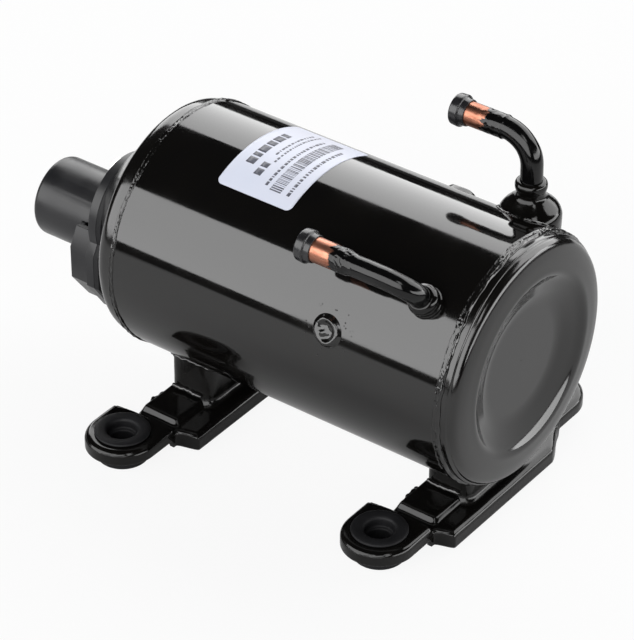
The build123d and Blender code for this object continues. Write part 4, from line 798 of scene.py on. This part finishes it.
def copper_and_paint(name, edge_x, ragged):
    """Bare drawn copper toward -X, tarnished in streaks along the tube, under enamel that starts
    at a ragged edge: paint where x + noise is above edge_x, both in metres."""
    material, tree, shader = new_material(name)
    streaks = pattern(tree, 1.6, 5.0, (3.5, 1, 1))
    tint(tree, streaks, shader.inputs["Base Color"], (0.52, 0.25, 0.17, 1), (0.17, 0.045, 0.022, 1))
    shader.inputs["Metallic"].default_value = 1.0
    vary(tree, streaks, shader.inputs["Roughness"], 0.24, 0.46)
    relief(tree, shader, ((1.0, 0.012, (5, 1, 1)), (3.5, 0.03, EVEN)))
    paint = add(tree, "ShaderNodeBsdfPrincipled", {
        "Base Color": ENAMEL_BLACK, "IOR": THIN_ENAMEL_IOR, "Metallic": 0.0,
    })
    vary(tree, pattern(tree, 2.0, 3.0), paint.inputs["Roughness"], 0.06, 0.20)
    relief(tree, paint, ((6.0, 0.02, EVEN), (0.8, 0.004, EVEN)))
    place = add(tree, "ShaderNodeTexCoord")
    split = add(tree, "ShaderNodeSeparateXYZ")
    tree.links.new(place.outputs["Object"], split.inputs["Vector"])
    moved = add(tree, "ShaderNodeMath", operation="ADD")
    tree.links.new(split.outputs["X"], moved.inputs[0])
    vary(tree, pattern(tree, 2.6, 4.0, (2.2, 1, 1)), moved.inputs[1], -ragged, ragged)
    painted = add(tree, "ShaderNodeMapRange", {
        "From Min": edge_x - PAINT_EDGE,
        "From Max": edge_x + PAINT_EDGE,
    })
    tree.links.new(moved.outputs["Value"], painted.inputs["Value"])
    joined = add(tree, "ShaderNodeMixShader")
    tree.links.new(painted.outputs["Result"], joined.inputs["Fac"])
    tree.links.new(shader.outputs["BSDF"], joined.inputs[1])
    tree.links.new(paint.outputs["BSDF"], joined.inputs[2])
    tree.links.new(joined.outputs["Shader"], tree.nodes["Material Output"].inputs["Surface"])
    return material


def bent_line(rise_from, rise_to, run_to, bend):
    """Plan of a pipe in its own plane: up, round a quarter circle, and level toward -X."""
    up = np.linspace(rise_from, rise_to - bend, 60, endpoint=False)
    quarter = np.linspace(0, math.pi / 2, 70, endpoint=False)
    level = np.linspace(-bend, run_to, 120)
    x = np.concatenate([0 * up, -bend + bend * np.cos(quarter), level])
    h = np.concatenate([up, rise_to - bend + bend * np.sin(quarter), 0 * level + rise_to])
    return x, h


def hollow_tube(spine, flat_side, outer, wall, swell=None):
    """A circle carried along a plane line and back again inside: outer radius out, outer - wall
    back, so that the mouth is open and the wall has its thickness."""
    along = np.gradient(spine, axis=0)
    along /= np.linalg.norm(along, axis=1, keepdims=True)
    side = np.broadcast_to(np.array(flat_side, float), spine.shape)
    other = np.cross(along, side)
    turn = np.linspace(0, 2 * math.pi, 72, endpoint=False)[None, :, None]
    outward = np.cos(turn) * side[:, None] + np.sin(turn) * other[:, None]
    skin = spine[:, None] + outer[:, None, None] * outward
    if swell is not None:
        skin = skin + outward * swell(skin)[..., None]
    lining = (spine[:, None] + (outer - wall)[:, None, None] * outward)[::-1]
    return np.concatenate([skin, lining], axis=0), True, True


BEND_SLIMMER = 0.35
SOCKET_X = BOSS_X - SUCTION_BEND + 0.6
line_x, line_h = bent_line(AXIS_Z + 34.0, PIPE_TOP, SUCTION_MOUTH - BOSS_X, SUCTION_BEND)
suction_spine = np.stack([BOSS_X + line_x, 0 * line_x + PIPE_Y, line_h], -1)
in_socket = 1 - ease(SOCKET_X - 0.5, SOCKET_X + 0.3, suction_spine[:, 0])
suction_r = TUBE_R - BEND_SLIMMER * (1 - in_socket)
collar = 0.14 * np.exp(-(((suction_spine[:, 0] - SOCKET_X + 0.6) / 0.6) ** 2))


def suction_swell(points):
    """Paint runs on the tube, stronger where the paint starts and fading out on the bare end."""
    fade = ease(SUCTION_MOUTH + 8.0, SUCTION_MOUTH + 14.0, points[..., 0])
    scuffed = 1 - ease(SUCTION_MOUTH + 16.0, SUCTION_MOUTH + 22.0, points[..., 0])
    return fade * (0.03 * lumps(points, 9.0, 131) + 0.07 * scuffed * lumps(points, 1.8, 132))


suction_copper = copper_and_paint("suction_copper", (SUCTION_MOUTH + SUCTION_BARE) * MM, ragged=0.0022)
suction_tube = hollow_tube(suction_spine, (0, 1, 0), suction_r + collar, TUBE_WALL, suction_swell)
build("suction_pipe", [suction_tube], suction_copper)

# ---- discharge knob and pipe -----------------------------------------------------------------
# A round steel knob brazed square to the shell, and a slimmer copper tube out of it with a wider
# bare stub on its end. Braze and paint have run where the stub starts.
stub_place = np.array(MOUNTS["discharge_stub"]["pos_m"]) / MM
DISCHARGE_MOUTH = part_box("discharge_socket")[0].x / MM
STANDOFF_R = math.hypot(stub_place[1], stub_place[2] - AXIS_Z)
outward_y, outward_z = stub_place[1] / STANDOFF_R, (stub_place[2] - AXIS_Z) / STANDOFF_R
DISCHARGE_BEND = 12.0
DISCHARGE_BARE = 13.6
DISCHARGE_R = 4.2
STUB_R = 4.9
STUB_START = DISCHARGE_MOUTH + 18.5
STUB_TAPER = 4.0
knob_profile = filleted((
    (SHELL_R - 2.0, DISCHARGE_R - 0.3, 0), (SHELL_R - 2.0, 6.5, 0.4), (SHELL_R + 0.7, 6.4, 0.9),
    (SHELL_R + 1.5, 5.7, 0.7), (SHELL_R + 4.4, 6.5, 2.4), (SHELL_R + 6.9, DISCHARGE_R + 0.5, 1.6),
    (SHELL_R + 6.6, DISCHARGE_R - 0.3, 0),
), 0.3)
knob_axis = (0, outward_y, outward_z)
knob_skin = turned(knob_profile, (BOSS_X, 0, AXIS_Z), knob_axis, 120, braze_lumps)
build("discharge_knob", [(knob_skin, False, True)], boss_enamel)
line_x, line_h = bent_line(SHELL_R - 7.0, STANDOFF_R, DISCHARGE_MOUTH - BOSS_X, DISCHARGE_BEND)
discharge_spine = np.stack([BOSS_X + line_x, line_h * outward_y, AXIS_Z + line_h * outward_z], -1)
in_stub = 1 - ease(STUB_START, STUB_START + STUB_TAPER, discharge_spine[:, 0])
discharge_r = DISCHARGE_R + (STUB_R - DISCHARGE_R) * in_stub


def discharge_swell(points):
    """Runs of braze round the taper, slight waves elsewhere, and none on the bare stub."""
    taper = np.exp(-(((points[..., 0] - STUB_START - 0.5) / 3.6) ** 2))
    paint = ease(DISCHARGE_MOUTH + 12.0, DISCHARGE_MOUTH + 17.0, points[..., 0])
    return taper * (0.12 * lumps(points, 2.6, 141) + 0.10 * lumps(points, 1.1, 142)) \
        + paint * 0.03 * lumps(points, 7.0, 143)


discharge_copper = copper_and_paint(
    "discharge_copper", (DISCHARGE_MOUTH + DISCHARGE_BARE) * MM, ragged=0.0014)
flat_side = np.cross(knob_axis, (1, 0, 0))
discharge_tube = hollow_tube(discharge_spine, flat_side, discharge_r, TUBE_WALL, discharge_swell)
build("discharge_pipe", [discharge_tube], discharge_copper,
      replaced=("discharge_pipe", "discharge_socket"))

# ---- pipe caps -------------------------------------------------------------------------------
# Push-on rubber caps that keep dirt out of the stubs: a thick round head and a short thin collar
# that grips the tube.
cap_rubber = finish(
    "cap_rubber", ((0.006, 0.006, 0.007, 1), (0.012, 0.012, 0.013, 1)), (0.16, 0.30),
    ((4.0, 0.05, EVEN), (0.5, 0.004, EVEN)), grain=(4.0, EVEN),
)
CAP_END = 1.5
CAP_HEAD = 4.2
CAP_COLLAR = 2.4
CAP_LIP = CAP_HEAD - CAP_END
CAP_WALL = 1.7
CAP_PLAY = 0.06
for cap_name, body, mouth, bore_r in (
    ("suction_cap", "suction_plug", (SUCTION_MOUTH, PIPE_Y, PIPE_TOP), TUBE_R),
    ("discharge_cap", "discharge_plug", (DISCHARGE_MOUTH, *discharge_spine[-1, 1:]), STUB_R),
):
    head_r = bore_r + CAP_WALL
    cap_profile = filleted((
        (-CAP_END, 0, 0), (-CAP_END, head_r - 1.2, 0.7), (-CAP_END + 0.5, head_r - 0.2, 0.5),
        (CAP_LIP - 0.4, head_r, 0.5), (CAP_LIP, head_r - 0.5, 0.4), (CAP_LIP + 0.1, bore_r + 0.8, 0.2),
        (CAP_LIP + CAP_COLLAR, bore_r + 0.55, 0.3), (CAP_LIP + CAP_COLLAR, bore_r + CAP_PLAY, 0.1),
        (-CAP_PLAY, bore_r + CAP_PLAY, 0.1), (-CAP_PLAY, 0, 0),
    ), 0.2)
    cap_skin = turned(cap_profile, mouth, (1, 0, 0), 96)
    build(cap_name, [(cap_skin, False, True)], cap_rubber, body)

# ---- rating label ----------------------------------------------------------------------------
# A paper label with rounded corners stuck on the top of the shell, a little askew, printed in
# grey with plain blocks and bars.
label_low, label_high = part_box("rating_label")
LABEL_X = (label_low.x + label_high.x) / 2 / MM
LABEL_HALF = (label_high.x - label_low.x) / 2 / MM
LABEL_HALF_ANGLE = 29.4
LABEL_ARC = math.radians(LABEL_HALF_ANGLE) * SHELL_R
LABEL_CORNER = 2.6
LABEL_SKEW = math.tan(math.radians(-1.2))
LABEL_THICK = 0.12
INK_THICK = 0.02
INK_PROUD = 0.03
PRINT_ROWS = (
    (1.2, 1.2, -18.0, 19.5),
    (12.0, 1.4, -14.0, 20.5),
    (-3.2, 0.9, -20.0, 8.0),
    (-5.6, 0.9, -20.0, 4.0),
)
paper = finish(
    "label_paper", ((0.42, 0.455, 0.54, 1), (0.47, 0.47, 0.53, 1)), (0.42, 0.55),
    ((0.5, 0.002, EVEN), (9.0, 0.02, EVEN)), grain=(30.0, EVEN),
)


def on_label(across, arc, height):
    """A point on the label: across along X and arc mm round from the top, toward -Y."""
    return on_shell(LABEL_X + across + LABEL_SKEW * arc, arc, height, 0.0)


arc = np.concatenate([
    -LABEL_ARC + LABEL_CORNER * (1 - np.cos(np.linspace(0, math.pi / 2, 12)))[:-1],
    np.linspace(-LABEL_ARC + LABEL_CORNER, LABEL_ARC - LABEL_CORNER, 90),
    LABEL_ARC - LABEL_CORNER * (1 - np.cos(np.linspace(math.pi / 2, 0, 12)))[1:],
])[:, None]
to_end = np.clip(LABEL_CORNER - (LABEL_ARC - np.abs(arc)), 0, LABEL_CORNER)
half = LABEL_HALF - LABEL_CORNER + np.sqrt(LABEL_CORNER**2 - to_end**2)
across = np.linspace(-1, 1, 40)[None, :] * half
sheet = on_label(across, arc + 0 * across, LABEL_THICK)
build("rating_label", [(sheet, False, False)], paper, wall=LABEL_THICK)
ink = finish(
    "label_ink", ((0.03, 0.03, 0.04, 1), (0.09, 0.095, 0.12, 1)), (0.35, 0.5),
    ((0.4, 0.002, EVEN),), grain=(1.5, EVEN),
)
rng = np.random.default_rng(151)
print_boxes = []
bar = LABEL_ARC - 5.5
while bar > -LABEL_ARC + 6.0:
    thick = rng.choice([0.22, 0.38, 0.62])
    print_boxes.append((4.2, 9.4, bar - thick, bar))
    bar -= thick + rng.choice([0.25, 0.42, 0.6])
for row_x, tall, first, last in PRINT_ROWS:
    spot = last
    while spot > first:
        long = rng.uniform(0.5, 1.9)
        print_boxes.append((row_x, row_x + tall, spot - long, spot))
        spot -= long + rng.uniform(0.4, 0.9)
spot = 13.0
for wide in (3.6, 2.2, 4.4, 3.0, 4.0, 2.4):
    print_boxes.append((-13.0, -9.2, spot - wide, spot))
    spot -= wide + 0.9
print_boxes.append((-6.4, -3.2, 13.4, 16.8))
print_boxes.append((-6.4, -3.2, 9.6, 12.4))
print_grids = []
for x_low, x_high, arc_low, arc_high in print_boxes:
    box_x = np.array([[x_low, x_high]])
    box_arc = np.linspace(arc_low, arc_high, 5)[:, None]
    block = on_label(box_x + 0 * box_arc, box_arc + 0 * box_x, LABEL_THICK + INK_PROUD)
    print_grids.append((block, False, False))
build("label_print", print_grids, ink, replaced=(), wall=INK_THICK)

# ---- terminal cover --------------------------------------------------------------------------
# Satin black moulded plastic: a ring flange, a hood over the wires and a round barrel, all with
# small moulded radii. One nut on a weld stud holds it, with a rubber gasket under it.
cover_plastic = finish(
    "cover_plastic", ((0.006, 0.006, 0.007, 1), (0.010, 0.010, 0.011, 1)), (0.28, 0.40),
    ((14.0, 0.05, EVEN), (0.5, 0.010, EVEN)), ior=1.42, grain=(12.0, EVEN),
)
SHARP_ANGLE = math.radians(32)
FLAT_ANGLE = math.radians(1)
WELD_WITHIN = 2e-6


def softened(name, material, width, segments=3):
    """A carried-over node's shape with its sharp edges rounded: a merged copy with flat faces
    joined, under a bevel."""
    copy = node[name].data.copy()
    copy.name = name
    work = bmesh.new()
    work.from_mesh(copy)
    bmesh.ops.remove_doubles(work, verts=work.verts, dist=WELD_WITHIN)
    bmesh.ops.dissolve_limit(work, angle_limit=FLAT_ANGLE, verts=work.verts, edges=work.edges)
    work.to_mesh(copy)
    work.free()
    copy.materials.clear()
    copy.materials.append(material)
    copy.shade_smooth()
    copy.set_sharp_from_angle(angle=SHARP_ANGLE)
    piece = bpy.data.objects.new(f"{name}_moulded", copy)
    bpy.context.scene.collection.objects.link(piece)
    bevel = piece.modifiers.new("radius", "BEVEL")
    bevel.width = width * MM
    bevel.segments = segments
    bevel.limit_method = "ANGLE"
    bevel.angle_limit = SHARP_ANGLE
    bevel.harden_normals = True
    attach(piece, "compressor")
    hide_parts(name)


softened("terminal_cover", cover_plastic, 0.7)
softened("terminal_gasket", rubber, 0.3, 2)
zinc = finish(
    "zinc_plate", ((0.62, 0.62, 0.58, 1), (0.50, 0.50, 0.50, 1)), (0.22, 0.38),
    ((1.2, 0.01, EVEN),), metallic=1.0, grain=(3.0, EVEN),
)
softened("cover_nut", zinc, 0.25, 2)
softened("cover_washer", zinc, 0.15, 2)
dress("cover_stud", zinc)

# ---- inner parts -----------------------------------------------------------------------------
# The motor, the pump and the terminal fittings inside the shell keep their turned and ground
# shapes. Each gets the finish of its own metal, winding, glass or moulding.
ALONG = (12, 1, 1)
WOUND = (14, 1, 1)
INNER_FINISHES = {
    "steel": finish(
        "ground_steel", ((0.56, 0.57, 0.58, 1), (0.46, 0.46, 0.47, 1)), (0.20, 0.34),
        ((0.4, 0.004, ALONG),), metallic=1.0, grain=(2.0, ALONG)),
    "zinc_steel": zinc,
    "iron": finish(
        "machined_iron", ((0.20, 0.20, 0.205, 1), (0.13, 0.13, 0.135, 1)), (0.34, 0.5),
        ((0.8, 0.02, EVEN),), metallic=1.0, grain=(1.6, EVEN)),
    "laminations": finish(
        "stacked_laminations", ((0.34, 0.34, 0.36, 1), (0.20, 0.20, 0.22, 1)), (0.3, 0.5),
        ((0.5, 0.03, (1, 40, 40)),), metallic=1.0, grain=(0.5, (1, 60, 60))),
    "enamelled_copper": finish(
        "varnished_copper", ((0.50, 0.20, 0.08, 1), (0.34, 0.11, 0.04, 1)), (0.2, 0.36),
        ((0.9, 0.10, WOUND),), metallic=0.8, grain=(1.0, WOUND)),
    "aluminium": finish(
        "cast_aluminium", ((0.62, 0.63, 0.64, 1), (0.52, 0.52, 0.54, 1)), (0.34, 0.5),
        ((1.0, 0.03, EVEN),), metallic=1.0, grain=(3.0, EVEN)),
    "brass": finish(
        "turned_brass", ((0.70, 0.48, 0.20, 1), (0.58, 0.38, 0.15, 1)), (0.22, 0.36),
        ((0.5, 0.008, EVEN),), metallic=1.0, grain=(2.0, EVEN)),
    "glass": finish(
        "sealing_glass", ((0.10, 0.20, 0.16, 1), (0.06, 0.13, 0.11, 1)), (0.04, 0.10),
        ((0.8, 0.02, EVEN),), ior=1.55, grain=(2.0, EVEN)),
    "bakelite": finish(
        "moulded_phenolic", ((0.030, 0.018, 0.012, 1), (0.055, 0.032, 0.020, 1)), (0.28, 0.42),
        ((0.6, 0.01, EVEN),), grain=(3.0, EVEN)),
    "lead_sleeving": finish(
        "woven_sleeving", ((0.60, 0.58, 0.52, 1), (0.42, 0.40, 0.35, 1)), (0.6, 0.8),
        ((0.35, 0.05, EVEN),), grain=(0.6, EVEN)),
}
for part in frame["record"]["subparts"]:
    if part["material_slot"] in INNER_FINISHES and part["node"] in node:
        dress(part["node"], INNER_FINISHES[part["material_slot"]])
